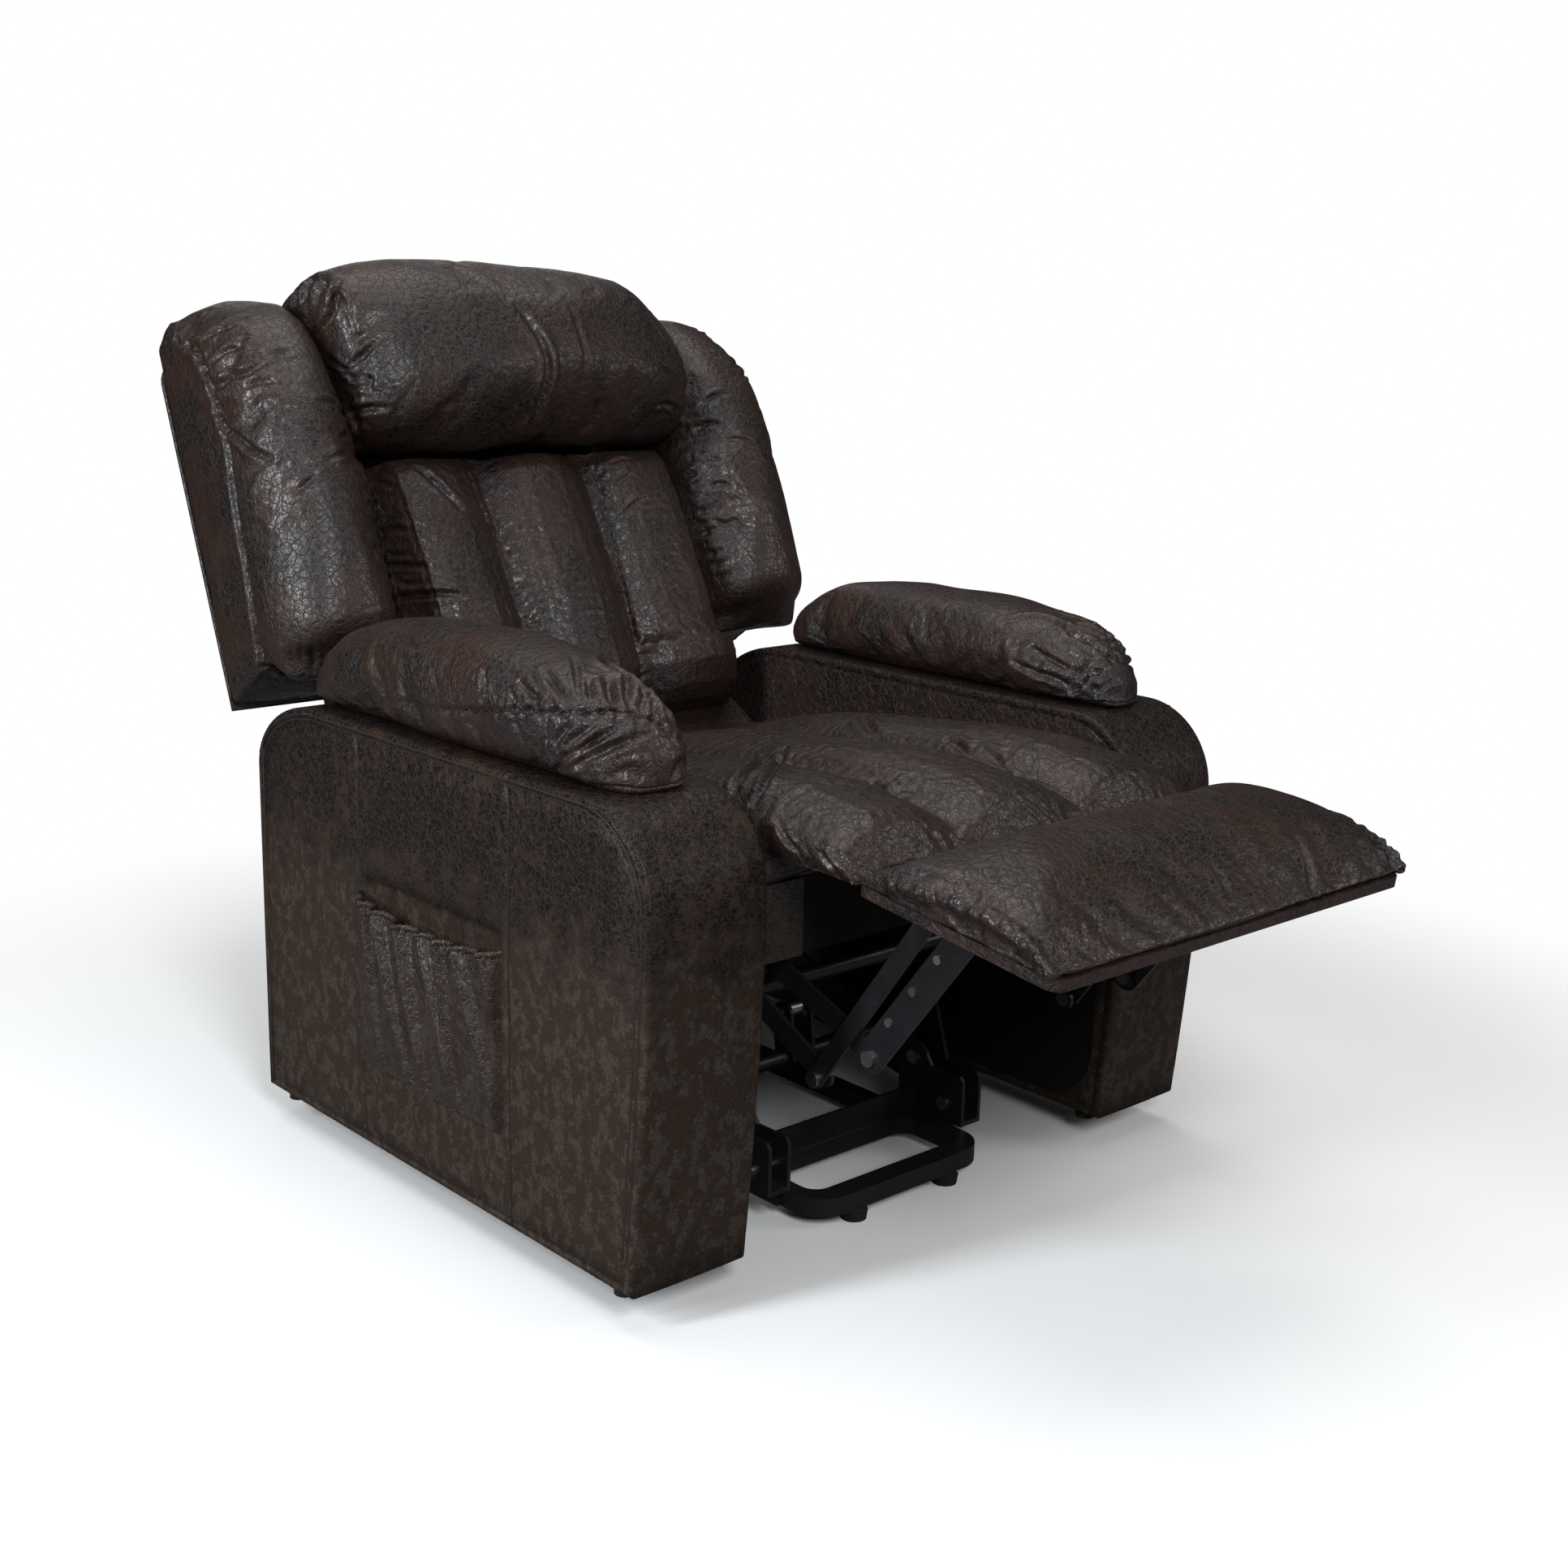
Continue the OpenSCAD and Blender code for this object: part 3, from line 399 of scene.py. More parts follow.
def points(mesh):
    co = np.empty(len(mesh.vertices) * 3)
    mesh.vertices.foreach_get("co", co)
    return co.reshape(-1, 3)


def normals(mesh):
    n = np.empty(len(mesh.vertices) * 3)
    mesh.vertex_normals.foreach_get("vector", n)
    return n.reshape(-1, 3)


def setPoints(mesh, co):
    mesh.vertices.foreach_set("co", np.asarray(co, float).ravel())
    mesh.update()


def treeOf(piece):
    mesh = piece.data
    return BVHTree.FromPolygons([v.co for v in mesh.vertices], [p.vertices for p in mesh.polygons])


def bell(distance, width):
    return np.exp(-(distance / width) ** 2)


def smoothStep(value, low, high):
    t = np.clip((value - low) / (high - low), 0, 1)
    return t * t * (3 - 2 * t)


# nearest distance from every point to a path, and how far along it (0 to 1) that is
def alongPath(co, path):
    best = np.full(len(co), 9.0)
    share = np.zeros(len(co))
    for i in range(len(path) - 1):
        a, d = path[i], path[i + 1] - path[i]
        t = np.clip((co - a) @ d / max(d @ d, 1e-12), 0, 1)
        gap = np.linalg.norm(co - a - t[:, None] * d, axis=1)
        near = gap < best
        best[near], share[near] = gap[near], (i + t[near]) / (len(path) - 1)
    return best, share


# the path's corners rounded into a smooth run of points
def smoothPath(corners, steps=5):
    p = [np.array(c, float) for c in corners]
    p = [2 * p[0] - p[1]] + p + [2 * p[-1] - p[-2]]
    run = []
    for i in range(1, len(p) - 2):
        for k in range(steps):
            t = k / steps
            run.append(0.5 * (2 * p[i] + (p[i + 1] - p[i - 1]) * t
                              + (2 * p[i - 1] - 5 * p[i] + 4 * p[i + 1] - p[i + 2]) * t ** 2
                              + (3 * p[i] - p[i - 1] - 3 * p[i + 1] + p[i + 2]) * t ** 3))
    return np.array(run + [p[-2]])


# presses a crease with a raised lip on each side into the points
def crease(co, nrm, path, width, depth, lip=0.5, taper=True):
    low, high = path.min(0) - 6 * width, path.max(0) + 6 * width
    close = np.where(((co > low) & (co < high)).all(1))[0]
    gap, share = alongPath(co[close], path)
    fade = np.sin(np.pi * np.clip(share, 0.04, 0.96)) ** 0.6 if taper else 1.0
    shape = -bell(gap, width) + lip * bell(gap - 2.1 * width, width * 1.1)
    co[close] += nrm[close] * (shape * depth * fade)[:, None]


# where points of the camera's view fall on the piece
def onPiece(tree, pixels):
    start = Vector(cameraSpec["place"])
    found = [tree.ray_cast(start, viewRay(px, py))[0] for px, py in pixels]
    return [np.array(p) for p in found if p is not None]


def onSkin(tree, path):
    return np.array([tree.find_nearest(Vector(p))[0] for p in path])


mirrorX = np.array([-1.0, 1.0, 1.0])


# presses folds, given as points of the view, width and depth in mm, into pieces that mirror each other
def pressFolds(pieces, foldLists, both=True):
    paths = [[(onPiece(treeOf(piece), fold[:-2]), fold[-2] / 1000, fold[-1] / 1000) for fold in folds]
             for piece, folds in zip(pieces, foldLists)]
    for i, piece in enumerate(pieces):
        tree, co, nrm = treeOf(piece), points(piece.data), normals(piece.data)
        for j, found in enumerate(paths):
            if i != j and not both:
                continue
            for path, width, depth in found:
                if len(path) > 1:
                    run = smoothPath(path) * (mirrorX if i != j else 1)
                    crease(co, nrm, onSkin(tree, run), width, depth)
        setPoints(piece.data, co)


# a sewn seam: a groove along the path
def sewSeam(piece, path, width=0.0028, depth=0.0032):
    co, nrm = points(piece.data), normals(piece.data)
    crease(co, nrm, onSkin(treeOf(piece), smoothPath(path)), width, depth, 0.15, False)
    setPoints(piece.data, co)


softPucker = dict(pitch=0.016, share=0.6, reach=0.030, width=0.0034, depth=0.0024, sides=(-1, 1))


# short puckers across a seam, on the named sides of its path; change gives what differs from softPucker
def pucker(piece, path, seed, **change):
    spec, rnd = dict(softPucker, **change), random.Random(seed)
    co, nrm, tree = points(piece.data), normals(piece.data), treeOf(piece)
    path = onSkin(tree, smoothPath(path))
    steps = np.maximum(np.linalg.norm(np.diff(path, axis=0), axis=1), 1e-6)
    ends = np.cumsum(steps)
    for k in range(int(ends[-1] / spec["pitch"])):
        at = (k + rnd.uniform(0.1, 0.9)) * spec["pitch"]
        i = min(int(np.searchsorted(ends, at)), len(steps) - 1)
        base = path[i] + (path[i + 1] - path[i]) * (at - ends[i] + steps[i]) / steps[i]
        run = (path[i + 1] - path[i]) / steps[i]
        across = np.cross(run, np.array(tree.find_nearest(Vector(base))[1]))
        across /= max(np.linalg.norm(across), 1e-9)
        for side in spec["sides"]:
            size, lean, deep = rnd.uniform(0.4, 1.4), rnd.uniform(-0.5, 0.5), rnd.uniform(0.4, 1.2)
            if rnd.random() > spec["share"]:
                continue
            reach = spec["reach"] * size
            tips = [base + side * (across + run * lean * s) * reach * s for s in (0.05, 0.4, 0.75, 1.0)]
            tips = onSkin(tree, tips)
            low, high = tips.min(0) - 0.014, tips.max(0) + 0.014
            close = np.where(((co > low) & (co < high)).all(1))[0]
            gap, share = alongPath(co[close], tips)
            width = spec["width"] * (0.75 + 0.5 * size)
            shape = -bell(gap, width) + 0.3 * bell(gap - 2 * width, width)
            co[close] += nrm[close] * (shape * (1 - share) * spec["depth"] * deep)[:, None]
    setPoints(piece.data, co)


# fine tubes laid along paths, each a list of points, and closed at their ends
def tubes(name, paths, radius, body, material, sides=6):
    bm = bmesh.new()
    angles = [2 * math.pi * k / sides for k in range(sides)]
    for path in paths:
        run, rings = np.asarray(path, float), []
        for i, p in enumerate(run):
            ahead = Vector(run[min(i + 1, len(run) - 1)] - run[max(i - 1, 0)]).normalized()
            turn = ahead.to_track_quat("Z", "Y")
            spots = [Vector((radius * math.cos(a), radius * math.sin(a), 0)) for a in angles]
            rings.append([bm.verts.new(Vector(p) + turn @ spot) for spot in spots])
        for one, two in zip(rings, rings[1:]):
            for k in range(sides):
                bm.faces.new((one[k], one[(k + 1) % sides], two[(k + 1) % sides], two[k]))
        bm.faces.new(rings[0])
        bm.faces.new(rings[-1])
    bmesh.ops.recalc_face_normals(bm, faces=bm.faces)
    return settle(addPiece(name, bm, material), body, "leather")


# sewing thread that follows a padded piece's seams, a little sunk into its skin
def stitchSeams(piece, seams, body, sink=0.0002, radius=0.0008):
    tree, paths = treeOf(piece), []
    for seam in seams:
        run = smoothPath(seam, 9)
        found = [tree.find_nearest(Vector(p)) for p in run]
        paths.append([np.array(at - face * sink) for at, face, _, _ in found])
    tubes(piece.name + "Thread", paths, radius, body, threadFinish)


# broad uneven swelling, as stuffing gives
def lumps(piece, size, amount, seed, stretch=(1, 1, 1)):
    co, nrm = points(piece.data), normals(piece.data)
    shift, scale = Vector((seed, -seed, seed * 0.5)), Vector(stretch) / size
    swell = np.array([noise.noise(Vector(p) * scale + shift) for p in co])
    setPoints(piece.data, co + nrm * (swell * amount)[:, None])


clothSpec = dict(quality=4, mass=0.3, tension_stiffness=12, compression_stiffness=12, shear_stiffness=5,
                 bending_stiffness=0.5, use_pressure=True, vertex_group_mass="held", pin_stiffness=1.0)


# swells the piece under pressure as cloth; held is 1 where a seam or a board holds it
def inflate(piece, spec, held):
    start = points(piece.data)
    start -= normals(piece.data) * spec["inset"] * (1 - held)[:, None]
    setPoints(piece.data, start)
    if simulate:
        group = piece.vertex_groups.new(name="held")
        for level in (1.0, 0.66, 0.33):
            inside = np.where((held <= level) & (held > level - 0.33))[0]
            group.add([int(i) for i in inside], level, "REPLACE")
        cloth = piece.modifiers.new("cloth", "CLOTH")
        cloth.settings.effector_weights.gravity = 0
        chosen = dict(clothSpec, uniform_pressure_force=spec["pressure"], shrink_min=-spec["spare"])
        for key, value in chosen.items():
            setattr(cloth.settings, key, value)
        cloth.point_cache.frame_start, cloth.point_cache.frame_end = 1, spec["frames"]
        for step in range(1, spec["frames"] + 1):
            scene.frame_set(step)
        graph = bpy.context.evaluated_depsgraph_get()
        swollen = points(piece.evaluated_get(graph).data)
        piece.modifiers.clear()
        scene.frame_set(1)
        piece.vertex_groups.clear()
        move = swollen - start
    else:
        move = normals(piece.data) * (spec["inset"] + 0.004) * (1 - held)[:, None]
    length = np.linalg.norm(move, axis=1)
    move *= np.minimum(1, spec["cap"] / np.maximum(length, 1e-9))[:, None]
    setPoints(piece.data, start + move)


# keeps the piece within a small distance of its CAD form
def keepNear(piece, tree, outside):
    co = points(piece.data)
    for i, p in enumerate(co):
        at, face, _, gap = tree.find_nearest(Vector(p))
        if gap > outside and (Vector(p) - at).dot(face) > 0:
            co[i] = at + (Vector(p) - at) * (outside / gap)
    setPoints(piece.data, co)


def relax(piece, times):
    bm = bmesh.new()
    bm.from_mesh(piece.data)
    for _ in range(times):
        bmesh.ops.smooth_vert(bm, verts=bm.verts, factor=0.5, use_axis_x=True, use_axis_y=True,
                              use_axis_z=True)
    bm.to_mesh(piece.data)
    bm.free()
    piece.data.update()


# a padded piece: CAD form, remeshed, shaped, inflated, kept near the form, then subdivided once
def paddedPiece(name, sources, spec, heldBy, body=None, shape=None):
    piece = addPiece(name, cadCopy(*sources))
    tree = treeOf(piece)
    modify(piece, "REMESH", mode="VOXEL", voxel_size=spec["voxel"])
    relax(piece, 3)
    held = heldBy(points(piece.data))
    if shape:
        setPoints(piece.data, shape(points(piece.data)))
    inflate(piece, spec, held)
    keepNear(piece, tree, spec["outside"])
    modify(piece, "SUBSURF", levels=1, render_levels=1)
    smoothShade(piece)
    piece.data.materials.clear()
    piece.data.materials.append(leather)
    settle(piece, body, "leather", *sources)
    print(name, "padded,", len(piece.data.vertices), "points")
    return piece


makeCamera(cameraSpec)
makeLamps(lampSpec)
makeStage(floorSpec)
print("camera, lamps and floor set")

# frame of the back: u up along it, w out of its front

backTilt = math.radians(21.4)
backFoot = np.array([0.0, armFront + 0.887, 0.512])
upBack = np.array([0.0, math.sin(backTilt), math.cos(backTilt)])
outBack = np.array([0.0, -math.cos(backTilt), math.sin(backTilt)])


def backPlace(x, u, w):
    return backFoot + np.array([x, 0, 0]) + upBack * u + outBack * w


def backFrame(co):
    d = co - backFoot
    return co[:, 0], d @ upBack, d @ outBack


def fromBackFrame(x, u, w):
    co = backFoot + np.outer(u, upBack) + np.outer(w, outBack)
    co[:, 0] = x
    return co


# seat: one skin over the seat cushion and the flap in front of it

cushionSpec = dict(voxel=0.006, inset=0.008, pressure=4.0, frames=18, cap=0.022, outside=0.007, spare=0.03)
seatSpec = dict(cushionSpec, fill=0.7, valley=0.0945, seamWidth=0.010, under=0.484, deeper=0.007)
seatFolds = [
    [(905, 975), (935, 940), (965, 922), 5, 6],
    [(930, 990), (945, 960), (975, 935), 4, 4],
    [(958, 1010), (970, 1035), (985, 1050), 3, 3],
    [(1025, 1045), (1035, 1060), (1045, 1068), 3, 3],
    [(1010, 1050), (1022, 1065), (1030, 1075), 3, 3],
    [(1215, 925), (1235, 945), (1255, 958), 5, 3],
    [(1060, 882), (1070, 895), (1078, 905), 6, 4],
    [(1165, 910), (1180, 918), (1190, 930), 5, 4],
    [(1250, 985), (1275, 1003), (1290, 1020), 3, 2],
    [(1262, 980), (1285, 997), (1303, 1015), 3, 2],
    [(1065, 960), (1085, 970), (1105, 975), 4, 3],
]


# distance to the nearer of two seams that mirror each other
def seamGap(x, place):
    return np.minimum(abs(x - place), abs(x + place))


def seatHeld(co):
    valley = seamGap(co[:, 0], seatSpec["valley"])
    under = smoothStep(seatSpec["under"] - co[:, 2], 0, 0.014)
    return np.clip(bell(valley, seatSpec["seamWidth"]) * 1.2 + under, 0, 1)


def seatShape(co):
    valley = seamGap(co[:, 0], seatSpec["valley"])
    deep = seatSpec["deeper"] * bell(valley, seatSpec["seamWidth"]) * smoothStep(co[:, 2], 0.485, 0.51)
    return co - np.array([[0, -0.2, 1.0]]) * deep[:, None]


def makeSeat():
    seat = paddedPiece("seatSkin", ("seat_cushion", "seat_flap"), seatSpec, seatHeld, None, seatShape)
    lumps(seat, 0.09, 0.004, 3.1, (1.0, 0.6, 1))
    low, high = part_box("seat_flap")[0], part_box("seat_cushion")[1]
    for k, x in enumerate((-seatSpec["valley"], seatSpec["valley"])):
        run = [(x, low.y + 0.01, 0.52), (x, -0.30, 0.535), (x, -0.15, 0.53), (x, 0.0, 0.51), (x, 0.15, 0.48),
               (x, high.y - 0.01, 0.44)]
        sewSeam(seat, run, 0.0032, 0.004)
        pucker(seat, run, 11 + k, pitch=0.020, reach=0.042)
    pressFolds([seat], [seatFolds])
    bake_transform(seat)


makeSeat()

# back cushion with its three sewn channels

backSpec = dict(cushionSpec, fill=0.75, valley=0.087, seamWidth=0.009, board=0.075, deeper=0.011)
backFolds = [
    [(449, 554), (487, 558), (515, 577), (567, 625), 4.2, 6],
    [(473, 549), (495, 546), (515, 548), 3.5, 3.5],
    [(477, 698), (503, 697), (532, 699), 3.4, 4.6],
    [(482, 738), (525, 733), (572, 734), 4, 6],
    [(458, 658), (483, 652), (506, 654), 3.4, 4.2],
    [(486, 715), (505, 720), (525, 718), 3, 3],
    [(470, 680), (490, 684), (505, 680), 2.8, 2.8],
    [(865, 752), (885, 745), (903, 736), 3.6, 3],
    [(452, 600), (470, 596), (486, 600), 3, 3],
    [(756, 600), (768, 590), (782, 584), 2.8, 2.8],
    [(764, 640), (780, 622), (796, 612), 2.8, 3],
    [(752, 572), (764, 566), (778, 566), 2.8, 2.6],
]


def backHeld(co):
    x, u, w = backFrame(co)
    valley = seamGap(x, backSpec["valley"])
    under = smoothStep(backSpec["board"] - w, 0, 0.013)
    return np.clip(bell(valley, backSpec["seamWidth"]) * 1.2 + under, 0, 1)


def backShape(co):
    x, u, w = backFrame(co)
    valley = seamGap(x, backSpec["valley"])
    deep = backSpec["deeper"] * bell(valley, backSpec["seamWidth"]) * smoothStep(w, 0.11, 0.16)
    return fromBackFrame(x, u, w - deep)


def makeBackCushion():
    cushion = paddedPiece("backCushion", ("back_cushion",), backSpec, backHeld, "back", backShape)
    lumps(cushion, 0.08, 0.004, 5.3, (1.0, 0.7, 0.7))
    for k, x in enumerate((-backSpec["valley"], backSpec["valley"])):
        run = [backPlace(x, u, 0.21) for u in (-0.09, -0.04, 0.02, 0.08, 0.14, 0.20, 0.26)]
        sewSeam(cushion, run, 0.0032, 0.0045)
        pucker(cushion, run, 21 + k, pitch=0.012, share=0.7, reach=0.030, sides=(1,))
        pucker(cushion, run, 26 + k, pitch=0.030, reach=0.024, sides=(-1,))
    edge = [backPlace(-0.258, u, 0.16) for u in (0.0, 0.06, 0.12, 0.18, 0.24)]
    pucker(cushion, edge, 24, pitch=0.013, reach=0.034, depth=0.003)
    pucker(cushion, [p * mirrorX for p in edge], 25, pitch=0.013, reach=0.034, depth=0.003)
    pressFolds([cushion], [backFolds])


makeBackCushion()

# head pillow

pillowSpec = dict(voxel=0.006, inset=0.006, pressure=3.5, frames=16, cap=0.02, outside=0.022, spare=0.03,
                  fill=0.85, board=0.075, end=0.262)
pillowFolds = [
    [(639, 379), (669, 423), (676, 457), (664, 501), (639, 546), 5, 7.5],
    [(648, 500), (652, 520), (640, 540), 3.5, 3.5],
    [(703, 379), (716, 415), (723, 447), 4, 2.6],
    [(394, 413), (411, 384), (416, 349), 4.5, 7],
    [(369, 379), (376, 362), (384, 344), 4, 4.5],
    [(416, 462), (436, 447), (477, 413), 3.6, 4.6],
    [(426, 511), (448, 504), (477, 502), 3.8, 5.6],
    [(404, 440), (420, 452), (440, 470), 3.4, 4],
    [(430, 480), (446, 476), (462, 482), 3, 3.6],
    [(814, 452), (828, 462), (838, 480), 3.4, 3.4],
    [(806, 500), (822, 498), (838, 506), 3.4, 3.4],
    [(790, 380), (806, 400), (820, 424), 3.4, 3],
]


def pillowHeld(co):
    x, u, w = backFrame(co)
    ends = smoothStep(abs(x), pillowSpec["end"], 0.274)
    return np.clip(smoothStep(pillowSpec["board"] - w, 0, 0.015) + ends, 0, 1)


# the top is fuller at one end and rounder at the other
def pillowShape(co):
    x, u, w = backFrame(co)
    rise = smoothStep(u, 0.36, 0.52)
    stretch = 1 + 0.075 * rise * smoothStep(-x, 0.1, 0.26)
    return fromBackFrame(x * stretch, u - 0.068 * x * rise, w - 0.035 * smoothStep(x, 0.16, 0.275) * rise)


def makePillow():
    pillow = paddedPiece("headPillow", ("head_pillow",), pillowSpec, pillowHeld, "back", pillowShape)
    lumps(pillow, 0.12, 0.005, 7.7)
    for k, side in enumerate((-1, 1)):
        ring = [backPlace(side * 0.266, 0.412 + 0.10 * math.sin(a), 0.165 + 0.085 * math.cos(a))
                for a in (-2.4, -1.6, -0.8, 0.0, 0.8, 1.6, 2.4)]
        inward = (-1,) if side < 0 else (1,)
        pucker(pillow, ring, 31 + k, pitch=0.026, reach=0.055, width=0.005, depth=0.004, share=0.8,
               sides=inward)
    pressFolds([pillow], [pillowFolds])


makePillow()

# wings: a plain band round the outside, and a puffed front inside its seam

wingSpec = dict(voxel=0.006, inset=0.005, pressure=3.5, frames=16, cap=0.018, outside=0.018, spare=0.02,
                fill=0.7, seam=((0.030, 0.108), (0.117, 0.123), (0.210, 0.132), (0.327, 0.143),
                                (0.401, 0.131), (0.452, 0.108), (0.480, 0.070)),
                lowRise=0.28, cornerDrop=0.020, outer=0.424, inner=0.264,
                topRight=0.016, topLeft=0.002, frontRight=0.012, frontLeft=0.040,
                wider=0.007, bellyLeft=0.012)
wingFolds = [
    [(269, 477), (286, 464), (302, 460), (325, 449), 4.2, 6.5],
    [(307, 475), (325, 470), (343, 473), 3.4, 3.4],
    [(277, 526), (292, 538), (307, 551), (333, 566), 4.2, 6],
    [(333, 437), (346, 434), (358, 433), 3.4, 3.4],
    [(246, 396), (252, 388), (259, 381), 3.4, 4],
    [(272, 401), (286, 395), (302, 391), 3.6, 4],
    [(250, 420), (268, 408), (285, 404), 3.6, 4.2],
    [(404, 566), (418, 560), (429, 559), 3.4, 3],
    [(262, 446), (280, 432), (296, 428), 3.4, 4.2],
    [(384, 800), (386, 815), (386, 826), 3.6, 3],
]
farWingFolds = [
    [(858, 530), (872, 522), (890, 524), 3.6, 4.4],
    [(862, 560), (880, 566), (896, 562), 3.6, 4],
    [(872, 600), (888, 596), (900, 600), 3.4, 3.6],
    [(862, 500), (880, 488), (896, 486), 3.4, 4],
    [(905, 640), (914, 650), (924, 652), 3.2, 3],
    [(942, 560), (955, 575), (965, 582), 3.4, 3.4],
    [(880, 640), (892, 646), (905, 642), 3.2, 3.6],
]


def wingHeld(co):
    x, u, w = backFrame(co)
    seamU, seamW = zip(*wingSpec["seam"])
    band = smoothStep(abs(x), 0.410, 0.420) * smoothStep(np.interp(u, seamU, seamW) + 0.004 - w, 0, 0.012)
    return np.clip(smoothStep(0.012 - w, 0, 0.008) + band, 0, 1)


# the lower face slopes up to the seam of the puff, and the outer corners are round
def wingShape(co):
    x, u, w = backFrame(co)
    s, reach = wingSpec, np.clip(w, 0, 0.252)
    right = x[0] < 0
    low = 1 - smoothStep(u, 0.0, 0.10)
    rise = s["lowRise"] * np.minimum(reach, 0.11) * (1 - smoothStep(reach, 0.11, 0.17)) * low
    outer = smoothStep(abs(x), 0.33, s["outer"])
    high = smoothStep(u, 0.30, 0.516)
    topLift, frontDrop = (s["topRight"], s["frontRight"]) if right else (s["topLeft"], s["frontLeft"])
    top = high * (topLift - s["cornerDrop"] * outer
                  - frontDrop * (reach / 0.252) ** 2 * (0.3 + 0.7 * outer)
                  - 0.020 * smoothStep(0.05 - w, 0, 0.05) * outer)
    front = smoothStep(w, 0.13, 0.252)
    back = front * 0.040 * (1 - smoothStep(u, -0.01, 0.07))
    belly = np.sin(np.pi * np.clip((w - 0.02) / 0.26, 0, 1)) * (1 - 0.6 * high)
    wide = s["wider"] * outer + (0 if right else s["bellyLeft"]) * outer * belly
    return fromBackFrame(x + np.sign(x) * wide, u + rise + top, w - back)


def makeWing(name, node, side, seed):
    wing = paddedPiece(name, (node,), wingSpec, wingHeld, "back", wingShape)
    lumps(wing, 0.09, 0.004, seed)
    edge = side * (wingSpec["outer"] + wingSpec["wider"])
    outer = [backPlace(edge, u, w) for u, w in wingSpec["seam"]]
    foot = [backPlace(side * x, 0.030, 0.110)
            for x in (wingSpec["outer"], 0.39, 0.35, 0.31, wingSpec["inner"])]
    mitre = [backPlace(edge, u, w) for u, w in ((0.030, 0.108), (0.018, 0.060), (-0.002, 0.006))]
    inward = 1 if side < 0 else -1
    for run, depth in ((outer, 0.0042), (foot, 0.0042), (mitre, 0.0022)):
        sewSeam(wing, run, 0.0034, depth)
    pucker(wing, outer[3:], seed + 1, pitch=0.012, share=0.8, reach=0.042, width=0.0042, depth=0.0034,
           sides=(inward,))
    pucker(wing, outer[:4], seed + 2, pitch=0.026, share=0.5, reach=0.020, sides=(inward,))
    pucker(wing, foot, seed + 3, pitch=0.014, share=0.7, reach=0.040, depth=0.003, sides=(inward,))
    inner = [backPlace(side * wingSpec["inner"], u, 0.20) for u in (0.06, 0.14, 0.22, 0.30, 0.38)]
    pucker(wing, inner, seed + 4, pitch=0.018, share=0.7, reach=0.034, width=0.004, depth=0.003)
    stitchSeams(wing, (outer, foot, mitre), "back")
    return wing


wings = [makeWing("wingRight", "wing_right", -1, 40), makeWing("wingLeft", "wing_left", 1, 50)]
pressFolds(wings, [wingFolds, farWingFolds])

# arm pads

padSpec = dict(voxel=0.0055, inset=0.005, pressure=3.5, frames=16, cap=0.018, outside=0.020, spare=0.03,
               fill=0.8, foot=0.570, fullRight=1.08, fullLeft=0.90, frontRound=0.022)
padFolds = [
    [(741, 793), (748, 836), (755, 875), 4.4, 7.5],
    [(671, 826), (684, 846), (698, 862), 3.6, 5],
    [(640, 841), (652, 853), (664, 862), 3.4, 4.4],
    [(596, 826), (597, 848), (594, 870), 3.4, 3.6],
    [(722, 834), (726, 850), (727, 865), 3.4, 4.4],
    [(706, 810), (712, 836), (716, 862), 3.4, 3.6],
    [(794, 846), (793, 860), (789, 874), 3.4, 4.4],
    [(812, 852), (818, 868), (824, 884), 3.4, 4],
    [(770, 830), (772, 850), (772, 870), 3.4, 4],
    [(673, 951), (685, 915), (702, 889), 3.6, 5],
    [(676, 951), (700, 918), (731, 894), 3.6, 5],
    [(682, 950), (722, 918), (770, 894), 3.6, 4.6],
    [(690, 950), (745, 925), (804, 903), 3.6, 4],
    [(630, 855), (634, 866), (636, 874), 3, 3.6],
]
padSeam = [(481, 862), (553, 875), (610, 876), (669, 876), (707, 877), (780, 880), (818, 897), (848, 908)]
padFrontSeam = [(671, 880), (671, 915), (671, 950)]
farPadSeam = [(1289, 876), (1321, 852), (1357, 826), (1390, 810)]
farPadFolds = [
    [(1236, 767), (1289, 762), (1331, 788), (1368, 812), 4.2, 6.5],
    [(1215, 868), (1250, 866), (1284, 865), 3.6, 4.5],
    [(1247, 815), (1275, 828), (1299, 836), (1318, 845), 3.8, 5],
    [(1320, 773), (1343, 790), (1363, 808), 3.6, 4.5],
    [(1342, 765), (1366, 784), (1382, 803), 3.4, 4],
    [(1232, 838), (1256, 848), (1276, 852), 3.4, 3.8],
    [(1272, 800), (1300, 815), (1330, 832), 3.6, 4.2],
    [(1205, 845), (1216, 856), (1230, 858), 3.4, 3.4],
]


def padHeld(co):
    return smoothStep(padSpec["foot"] - co[:, 2], 0, 0.006)


# fuller and square at the outer rear corner, rounder at the outer front one
def padShape(co):
    s = padSpec
    x, y, z = co.T
    outer = smoothStep(abs(x), 0.37, 0.457)
    rear, front = smoothStep(y, armFront + 0.50, armFront + 0.63), smoothStep(armFront + 0.17 - y, 0, 0.11)
    fuller = s["fullRight"] if x[0] < 0 else s["fullLeft"]
    y = y + 0.036 * rear * (0.4 + 0.6 * outer) + s["frontRound"] * front * outer
    x = x + np.sign(x) * 0.006 * rear * outer
    return np.stack([x, y, s["foot"] + (z - s["foot"]) * fuller], 1)


